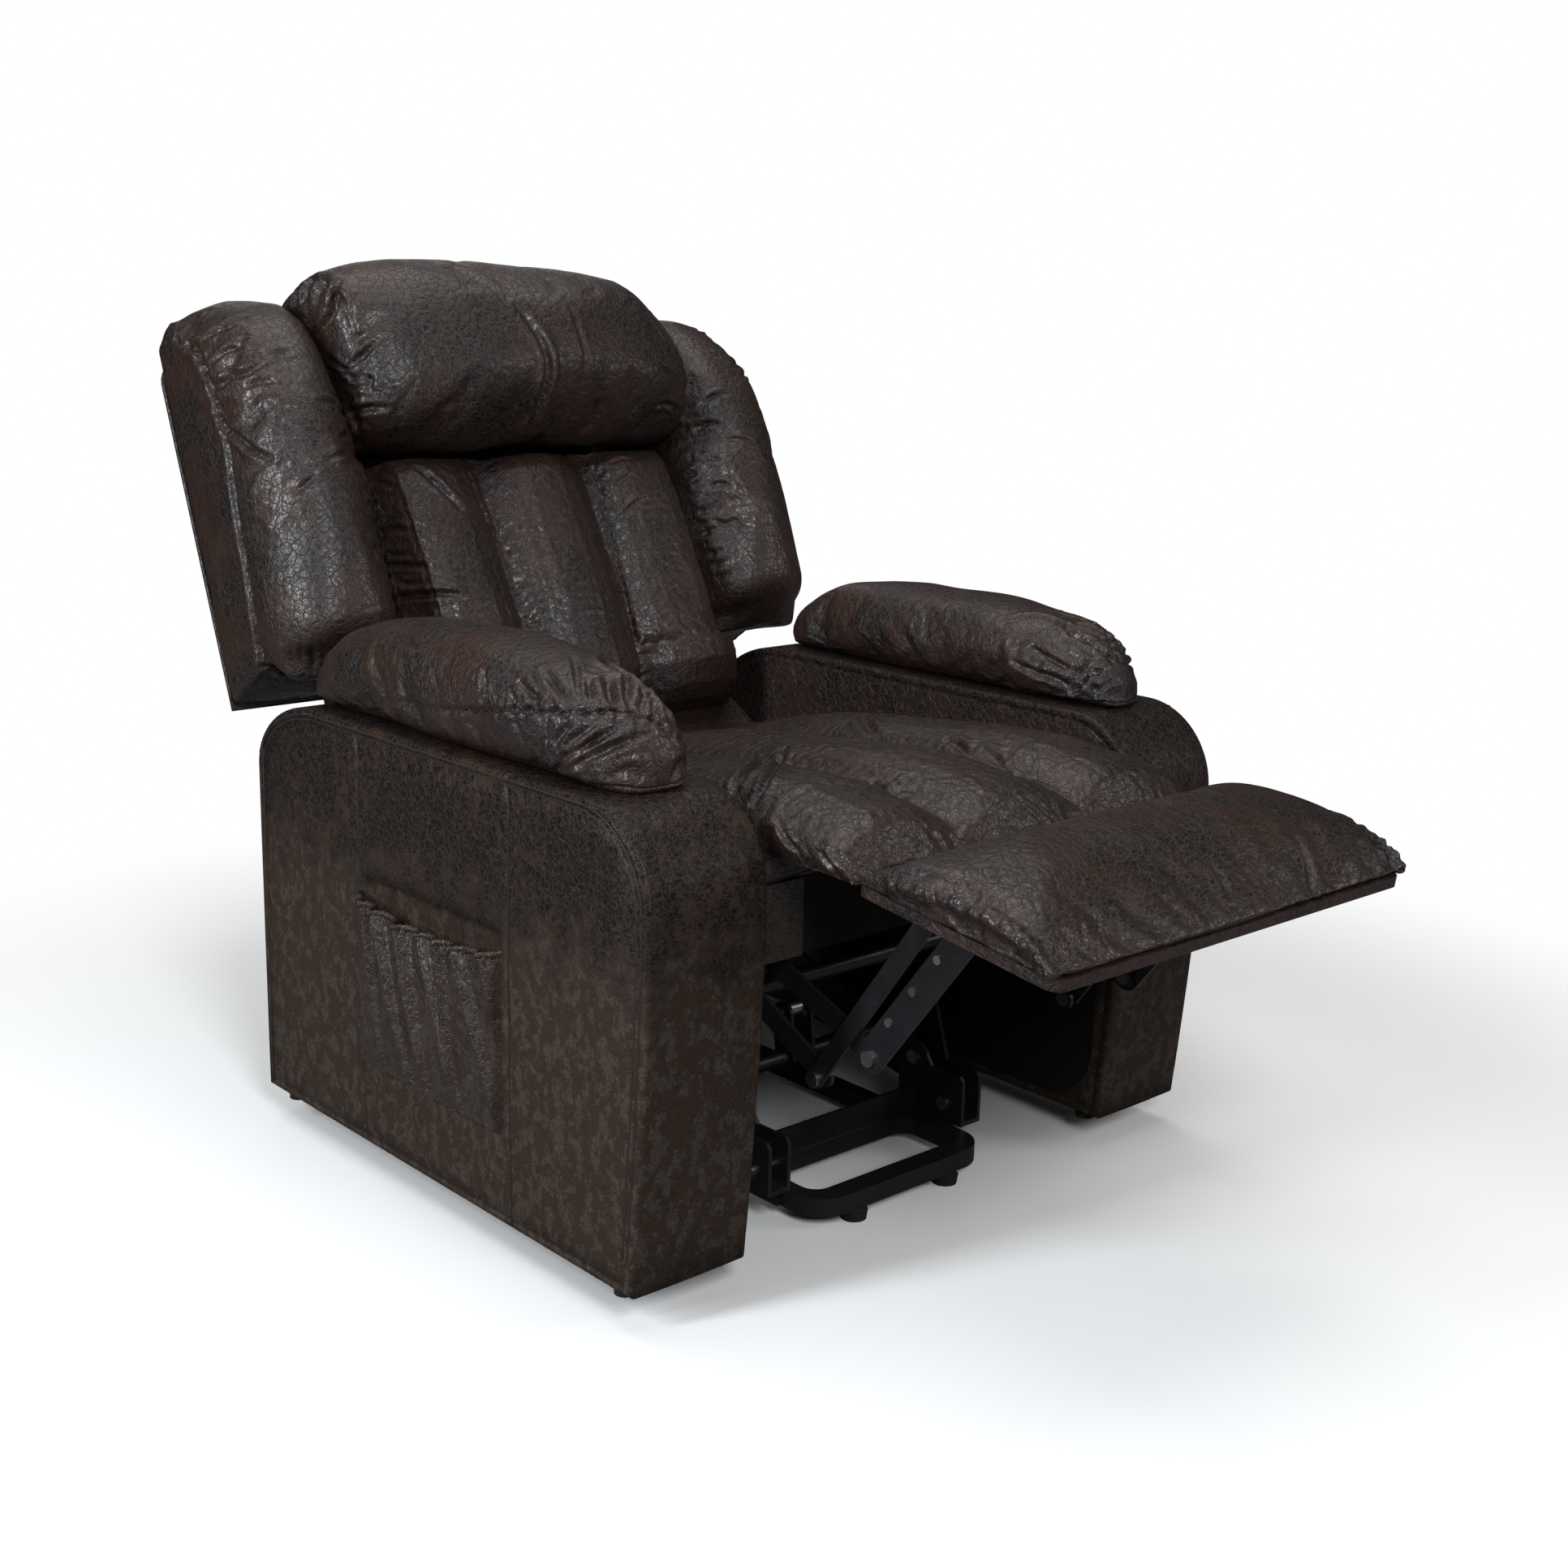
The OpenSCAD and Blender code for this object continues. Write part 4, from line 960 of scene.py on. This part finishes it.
def makePads():
    pads = [paddedPiece("armPadRight", ("arm_pad_right",), padSpec, padHeld, "chassis", padShape),
            paddedPiece("armPadLeft", ("arm_pad_left",), padSpec, padHeld, "chassis", padShape)]
    seams = [onPiece(treeOf(pads[0]), run) for run in (padSeam, padFrontSeam)]
    seams.append([p * mirrorX for p in onPiece(treeOf(pads[1]), farPadSeam)])
    for k, pad in enumerate(pads):
        lumps(pad, 0.10, 0.004, 60.0)
        turn = mirrorX if k else 1
        for seam in seams:
            sewSeam(pad, [p * turn for p in seam], 0.0030, 0.0040)
        front = [p * turn for p in seams[0][2:]]
        pucker(pad, front, 61, pitch=0.011, share=0.8, reach=0.034, depth=0.0034)
        pucker(pad, [p * turn for p in seams[2]], 62, pitch=0.012, share=0.8, reach=0.036, depth=0.0034)
    pressFolds(pads, [padFolds, farPadFolds])
    for k, pad in enumerate(pads):
        stitchSeams(pad, [[p * (mirrorX if k else 1) for p in seam] for seam in seams], "chassis")


makePads()

# footrest pad

footrestSpec = dict(voxel=0.0055, inset=0.005, pressure=3.5, frames=16, cap=0.016, outside=0.006, spare=0.02,
                    fill=0.7, board=0.012, boardRear=(-0.471, 0.484), tilt=math.radians(7.3), lower=0.10,
                    wider=0.03)
footrestFolds = [
    [(1497, 1068), (1506, 1085), (1512, 1102), 3.8, 3.6],
    [(1600, 1036), (1612, 1065), (1617, 1105), 4.2, 5],
    [(1468, 1118), (1472, 1128), (1473, 1140), 3, 2.6],
    [(1700, 1036), (1712, 1052), (1718, 1072), 4, 4.5],
    [(1330, 1128), (1334, 1150), (1338, 1172), 3, 3],
    [(1352, 1126), (1356, 1150), (1360, 1170), 3, 3],
    [(1310, 1140), (1316, 1160), (1322, 1180), 3, 3],
    [(1372, 1122), (1378, 1146), (1380, 1164), 3, 2.4],
]
footrestEnd = [(1052, 1085), (1100, 1092), (1160, 1106), (1210, 1126), (1250, 1152), (1278, 1180),
               (1293, 1203)]


def footrestFrame(co):
    y, z = co[:, 1] - footrestSpec["boardRear"][0], co[:, 2] - footrestSpec["boardRear"][1]
    c, s = math.cos(footrestSpec["tilt"]), math.sin(footrestSpec["tilt"])
    return y * c + z * s, z * c - y * s


def footrestHeld(co):
    return smoothStep(footrestSpec["board"] + 0.005 - footrestFrame(co)[1], 0, 0.006)


def footrestShape(co):
    y, v = footrestFrame(co)
    lower = footrestSpec["lower"] * np.maximum(v - footrestSpec["board"], 0)
    c, s = math.cos(footrestSpec["tilt"]), math.sin(footrestSpec["tilt"])
    wide = 1 + footrestSpec["wider"] * smoothStep(abs(co[:, 0]), 0.15, 0.29)
    return np.stack([co[:, 0] * wide, co[:, 1] + s * lower, co[:, 2] - c * lower], 1)


def makeFootrest():
    pad = paddedPiece("footrestPad", ("footrest_pad",), footrestSpec, footrestHeld, "footrest", footrestShape)
    lumps(pad, 0.10, 0.004, 70.0)
    end = onPiece(treeOf(pad), footrestEnd)
    for k, turn in enumerate((1, mirrorX)):
        run = [p * turn for p in end]
        co, nrm = points(pad.data), normals(pad.data)
        crease(co, nrm, onSkin(treeOf(pad), smoothPath(run)), 0.0075, -0.0050, 0.35, False)
        setPoints(pad.data, co)
        pucker(pad, run, 71 + k, pitch=0.014, share=0.7, reach=0.030, depth=0.0030)
    pressFolds([pad], [footrestFolds])


makeFootrest()

# plates cut from an outline: the arms and the outside of the back


# an outline in the plane of a and b, drawn out along c; both rims are rounded
def block(outline, thick, rim, cuts):
    bm = bmesh.new()
    face = bm.faces.new([bm.verts.new((a, b, 0)) for a, b in outline])
    drawn = bmesh.ops.extrude_face_region(bm, geom=[face])
    top = [v for v in drawn["geom"] if isinstance(v, bmesh.types.BMVert)]
    bmesh.ops.translate(bm, verts=top, vec=(0, 0, thick))
    bmesh.ops.recalc_face_normals(bm, faces=bm.faces)
    rims = [e for e in bm.edges if abs(e.verts[0].co.z - e.verts[1].co.z) < 1e-6]
    bmesh.ops.bevel(bm, geom=rims, offset=rim, segments=4, profile=0.5, affect="EDGES", material=-1)
    caps = [f for f in bm.faces if abs(f.normal.z) > 0.999]
    for width, depth in cuts:
        bmesh.ops.inset_region(bm, faces=caps, thickness=width, depth=depth, use_even_offset=True)
    return bm


# cuts the whole mesh with planes across one axis, at the places given
def cutAcross(bm, axis, places):
    direction = [0, 0, 0]
    direction[axis] = 1
    for place in places:
        spot = [0, 0, 0]
        spot[axis] = place
        bmesh.ops.bisect_plane(bm, geom=bm.verts[:] + bm.edges[:] + bm.faces[:], plane_co=spot,
                               plane_no=direction, dist=1e-6)


armSpec = dict(width=0.160, outer=0.4575, floorGap=0.042, depth=0.761, top=0.562, roll=0.104, bow=0.023,
               shoulder=(0.142, 0.092), rim=0.006, seams=(0.2135, 0.5185), seamWidth=0.0026, seamDepth=0.0026,
               bulge=0.0035, crown=0.006, grid=0.030, threads=(0.0095, 0.0175),
               recess=(0.228, 0.510, 0.152, 0.384), recessDepth=0.0092,
               threadRadius=0.0011, threadCentre=(0.36, 0.30), clear=0.01)
seamCuts = ((0.004, 0), (0.0016, -0.0022), (0.0016, 0.0022))


def armOutline(s):
    ry, rz = s["shoulder"]
    run = [(0, s["floorGap"]), (s["depth"], s["floorGap"]), (s["depth"], s["top"] - rz)]
    turn = [math.radians(a) for a in range(6, 91, 6)]
    run += [(s["depth"] - ry + ry * math.cos(a), s["top"] - rz + rz * math.sin(a)) for a in turn]
    turn = [math.radians(a) for a in range(90, 181, 5)]
    centre = s["roll"] - s["bow"]
    run += [(centre + s["roll"] * math.cos(a), s["top"] - s["roll"] + s["roll"] * math.sin(a)) for a in turn]
    high = s["top"] - s["roll"] - s["floorGap"]
    run += [(-s["bow"] * math.sin(math.pi / 2 * k / 12), s["floorGap"] + high * k / 12)
            for k in range(11, 0, -1)]
    return run


# one arm: outline in y and z, drawn out along x from its inner face
def makeArm(name, side, spec, *replaced):
    bm = block(armOutline(spec), spec["width"], spec["rim"], seamCuts)
    steps = [k * spec["grid"] for k in range(1, int(spec["depth"] / spec["grid"]))]
    near = [s + d for s in spec["seams"] for d in (-0.006, -0.003, -0.001, 0.001, 0.003, 0.006)]
    rearward, forward, low, high = spec["recess"]
    cutAcross(bm, 0, steps + near + [e + d for e in (rearward, forward) for d in (-0.001, 0.0015)])
    cutAcross(bm, 1, [spec["floorGap"] + k * spec["grid"] for k in range(1, 17)]
           + [e + d for e in (low, high) for d in (-0.001, 0.0015)])
    cutAcross(bm, 2, [spec["width"] * k / 8 for k in range(1, 8)])
    inner = spec["outer"] - spec["width"]
    for v in bm.verts:
        y, z, x = v.co
        out = smoothStep(x, spec["width"] - 0.002, spec["width"]) if x > 0.1 else 0.0
        field = math.sin(math.pi * min(max(y / spec["depth"], 0), 1)) * math.sin(
            math.pi * (z - spec["floorGap"]) / (spec["top"] - spec["floorGap"] + 0.01))
        across = 1 - (2 * x / spec["width"] - 1) ** 2
        seam = min(abs(y - s) for s in spec["seams"])
        if side < 0 and rearward < y < forward and low < z < high:
            x -= out * spec["recessDepth"]
        x += out * (spec["bulge"] * max(field, 0) ** 0.5 - spec["seamDepth"] * bell(seam, spec["seamWidth"]))
        upper = smoothStep(z, spec["top"] - 0.10, spec["top"])
        front = smoothStep(0.03 - y, 0, 0.05) + upper * smoothStep(0.16 - y, 0, 0.1)
        y -= spec["crown"] * across * min(front, 1) * (1 if z > spec["floorGap"] + 0.03 else 0.4)
        x = max(x, 0.001)
        v.co = (side * (inner + x), y + armFront, z)
    if side < 0:
        bmesh.ops.reverse_faces(bm, faces=bm.faces)
    bmesh.ops.recalc_face_normals(bm, faces=bm.faces)
    arm = settle(addPiece(name, bm, sideLeather), "chassis", "leather", *replaced)
    rim = [(y, z) for y, z in armOutline(spec)[1:]]
    tree, paths = treeOf(arm), []
    away = side * (spec["outer"] + spec["clear"])
    for inset in spec["threads"]:
        middle = np.array(spec["threadCentre"])
        run = [np.array(p) + (middle - p) / np.linalg.norm(middle - p) * inset for p in rim]
        paths.append(smoothPath([(away, y + armFront, z) for y, z in run], 3))
    for y in spec["seams"]:
        heights = [spec["floorGap"] + 0.004 + k * 0.0256 for k in range(20)]
        paths.append([np.array((away, y + armFront, z)) for z in heights])
    skin = [[tree.ray_cast(Vector(p), Vector((-side, 0, 0)))[0] for p in path] for path in paths]
    skin = [[np.array(p) for p in run if p is not None] for run in skin]
    tubes(name + "Thread", skin, spec["threadRadius"], "chassis", threadFinish)
    return arm


makeArm("armRight", -1, armSpec, "arm_box_right")
makeArm("armLeft", 1, armSpec, "arm_box_left")
print("arms made")

# outside of the back

rearSpec = dict(half=0.424, top=0.492, low=0.180, lowHalf=0.2885, thick=0.0065, corner=0.085, rim=0.0028,
                seams=(-0.2, 0.2), puff=0.005, grid=0.03)


def rearOutline(s):
    run = [(-s["lowHalf"], -s["low"]), (s["lowHalf"], -s["low"]), (s["lowHalf"], 0), (s["half"], 0)]
    turn = [math.radians(a) for a in range(0, 91, 10)]
    run += [(s["half"] - s["corner"] * (1 - math.cos(a)), s["top"] - s["corner"] * 0.6 * (1 - math.sin(a)))
            for a in turn]
    run += [(-x, u) for x, u in reversed(run[4:])]
    return run + [(-s["half"], 0), (-s["lowHalf"], 0)]


def makeRearPanel():
    s = rearSpec
    bm = block(rearOutline(s), s["thick"], s["rim"], ())
    cutAcross(bm, 0, [-s["half"] + k * s["grid"] for k in range(1, 28)]
           + [x + d for x in s["seams"] for d in (-0.005, -0.002, 0.002, 0.005)])
    cutAcross(bm, 1, [-s["low"] + k * s["grid"] for k in range(1, 23)])
    for v in bm.verts:
        x, u, c = v.co
        field = max(math.cos(math.pi / 2 * min(abs(x) / s["half"], 1)), 0) * max(
            math.sin(math.pi * (u + s["low"]) / (s["top"] + s["low"])), 0)
        groove = bell(min(abs(x - k) for k in s["seams"]), 0.002)
        back = smoothStep(c, s["thick"] - 0.002, s["thick"])
        w = 0.0015 - c - back * (s["puff"] * field ** 0.5 - 0.0018 * groove)
        v.co = backPlace(x, u, w)
    bmesh.ops.recalc_face_normals(bm, faces=bm.faces)
    return settle(addPiece("rearPanel", bm, leather), "back", "leather", "back_rear_panel")


makeRearPanel()


# top and sides that close the frame of the back
def makeBackSides():
    for name, low, high in (("backTopCover", (-0.263, 0.4743, 0.0003), (0.263, 0.492, 0.0577)),
                            ("backSideRight", (-0.2885, -0.180, 0.0003), (-0.2835, -0.0003, 0.0577)),
                            ("backSideLeft", (0.2835, -0.180, 0.0003), (0.2885, -0.0003, 0.0577))):
        bm = bmesh.new()
        bmesh.ops.create_cube(bm, size=1)
        for v in bm.verts:
            v.co = backPlace(*[(a + b) / 2 + c * (b - a) for a, b, c in zip(low, high, v.co)])
        bmesh.ops.bevel(bm, geom=bm.edges[:], offset=0.0018, segments=3, profile=0.5, affect="EDGES",
                        material=-1)
        bmesh.ops.recalc_face_normals(bm, faces=bm.faces)
        settle(addPiece(name, bm, leather), "back", "leather")


makeBackSides()
print("outside of the back made")


# a grid whose points place() puts, from their shares s and t of its length and height
def gridMesh(columns, rows, place):
    bm = bmesh.new()
    bmesh.ops.create_grid(bm, x_segments=columns, y_segments=rows, size=0.5)
    for v in bm.verts:
        v.co = place(v.co.x + 0.5, v.co.y + 0.5)
    bmesh.ops.recalc_face_normals(bm, faces=bm.faces)
    return bm


# storage pocket: gathered cloth with an elastic mouth

pocketSpec = dict(rear=0.224, length=0.290, low=0.150, height=0.212, face=0.4575, room=0.0100, belly=0.007,
                  sag=0.012, folds=7, foldDepth=0.0160, thick=0.0016, columns=170, rows=100, mouth=0.0042,
                  gather=1.15)


def pocketOffset(s, t, folds):
    p = pocketSpec
    ends = smoothStep(s, 0, 0.02) * smoothStep(1 - s, 0, 0.02) * smoothStep(t, 0, 0.03)
    pleats = sum(size * math.exp(-((s - at - lean * (1 - t)) / wide) ** 2) for at, lean, wide, size in folds)
    belly = math.sin(math.pi * s) * math.sin(math.pi * min(t * 0.9 + 0.05, 1)) * p["belly"]
    return ends * (p["room"] + belly + p["foldDepth"] * pleats * (0.25 + 0.75 * t)) + 0.0006


def makePocket():
    p, rnd = pocketSpec, random.Random(81)
    folds = [((k + rnd.uniform(0.25, 0.75)) / p["folds"], rnd.uniform(-0.30, -0.08),
              rnd.uniform(0.014, 0.034), rnd.uniform(0.4, 1.0)) for k in range(p["folds"])]

    def place(s, t):
        rib = math.sin(2 * math.pi * s * 46) * smoothStep(t, 0.90, 0.97) * 0.0012
        depth = pocketOffset(s, t, folds) + rib
        z = p["low"] + t * (p["height"] - p["sag"] * math.sin(math.pi * s) ** 0.8 * t)
        return -(p["face"] + depth), armFront + p["rear"] + s * p["length"], z

    bm = gridMesh(p["columns"], p["rows"], place)
    if sum(f.normal.x * f.calc_area() for f in bm.faces) > 0:
        bmesh.ops.reverse_faces(bm, faces=bm.faces)
    piece = addPiece("pocketCloth", bm, pocketLeather)
    modify(piece, "SOLIDIFY", thickness=p["thick"], offset=-1)
    smoothShade(piece)
    settle(piece, "chassis", "leather", "pocket")
    bm = bmesh.new()
    count, sides = 180, 8
    angles = [2 * math.pi * k / sides for k in range(sides)]
    rings = []
    for i in range(count + 1):
        s = i / count
        size = p["mouth"] * (1 + 0.22 * math.sin(2 * math.pi * s * 60))
        x = -(p["face"] + pocketOffset(s, 1.0, folds) - p["thick"] / 2)
        y = armFront + p["rear"] + s * p["length"]
        z = p["low"] + p["height"] - p["sag"] * math.sin(math.pi * s) ** 0.8 - 0.001
        rings.append([bm.verts.new((x + size * 0.8 * math.cos(a), y, z + size * math.sin(a)))
                      for a in angles])
    for a, b in zip(rings, rings[1:]):
        for k in range(sides):
            bm.faces.new((a[k], a[(k + 1) % sides], b[(k + 1) % sides], b[k]))
    for ring in (rings[0], rings[-1]):
        bm.faces.new(ring)
    bmesh.ops.recalc_face_normals(bm, faces=bm.faces)
    settle(addPiece("pocketMouth", bm, pocketLeather), "chassis", "leather")


makePocket()
print("pocket made")

# cloth sheets: one bridges the seat and the back, one hangs behind the footrest
creviceSpec = dict(half=0.280, columns=56, profile=((0.225, 0.430), (0.262, 0.444), (0.300, 0.450),
                                                    (0.325, 0.455), (0.350, 0.468), (0.375, 0.480)))
apronSpec = dict(half=0.2045, y=-0.3038, low=0.360, high=0.448, sag=0.004, columns=60, rows=14)


def makeSheets():
    c = creviceSpec
    run = smoothPath([(0, y, z) for y, z in c["profile"]], 4)

    def creviceAt(share, t):
        s = share * 2 - 1
        y, z = run[round(t * (len(run) - 1))][1:]
        return s * c["half"], y, z + 0.0025 * math.sin(9 * s + 4 * t) * math.sin(math.pi * t)

    bm = gridMesh(c["columns"], len(run) - 1, creviceAt)
    crevice = settle(addPiece("creviceCloth", bm, leather), None, "leather")
    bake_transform(crevice)
    a = apronSpec

    def apronAt(share, t):
        s = share * 2 - 1
        ripple = 0.4 + 0.35 * math.sin(11 * s + 1) + 0.25 * math.sin(23 * s)
        wave = a["sag"] * math.sin(math.pi * t) * ripple
        return s * a["half"], a["y"] - wave * (1 - s ** 6), a["low"] + t * (a["high"] - a["low"])

    bm = gridMesh(a["columns"], a["rows"], apronAt)
    apron = settle(addPiece("apronCloth", bm, blackCloth), "chassis", "black_cloth", "seat_apron")


makeSheets()

# finish of the CAD pieces

cadFinishes = {
    blackSteel: ("base_loop base_rear_bar base_towers motor_bracket lift_front_links lift_rear_links "
                 "lift_cross_tube side_plates mech_cross_tubes lower_links_rear lower_links_front "
                 "drive_shaft drive_tube upper_links_rear upper_links_front footrest_brackets "
                 "back_hinge_arms"),
    zincSteel: ("base_bolts mech_bolts knee_bolts_rear knee_bolts_front link_rivets footrest_bolts "
                "back_hinge_bolts lift_motor_tube lift_push_rod recline_motor_tube recline_push_rod"),
    rubberFinish: "base_feet arm_glides",
    plasticFinish: "lift_motor_housing recline_motor control_box power_inlet hand_control",
    buttonFinish: "button_raise button_lower",
    timber: "seat_frame footrest_board back_frame",
    webbingFinish: "seat_webbing back_webbing",
    blackCloth: "arm_inner_panels",
    leather: "arm_liners apron_ends footrest_edge",
}
for finish, names in cadFinishes.items():
    for name in names.split():
        nodes[name].data.materials.clear()
        nodes[name].data.materials.append(finish)
print("CAD pieces finished")

scene.view_settings.view_transform = "Standard"
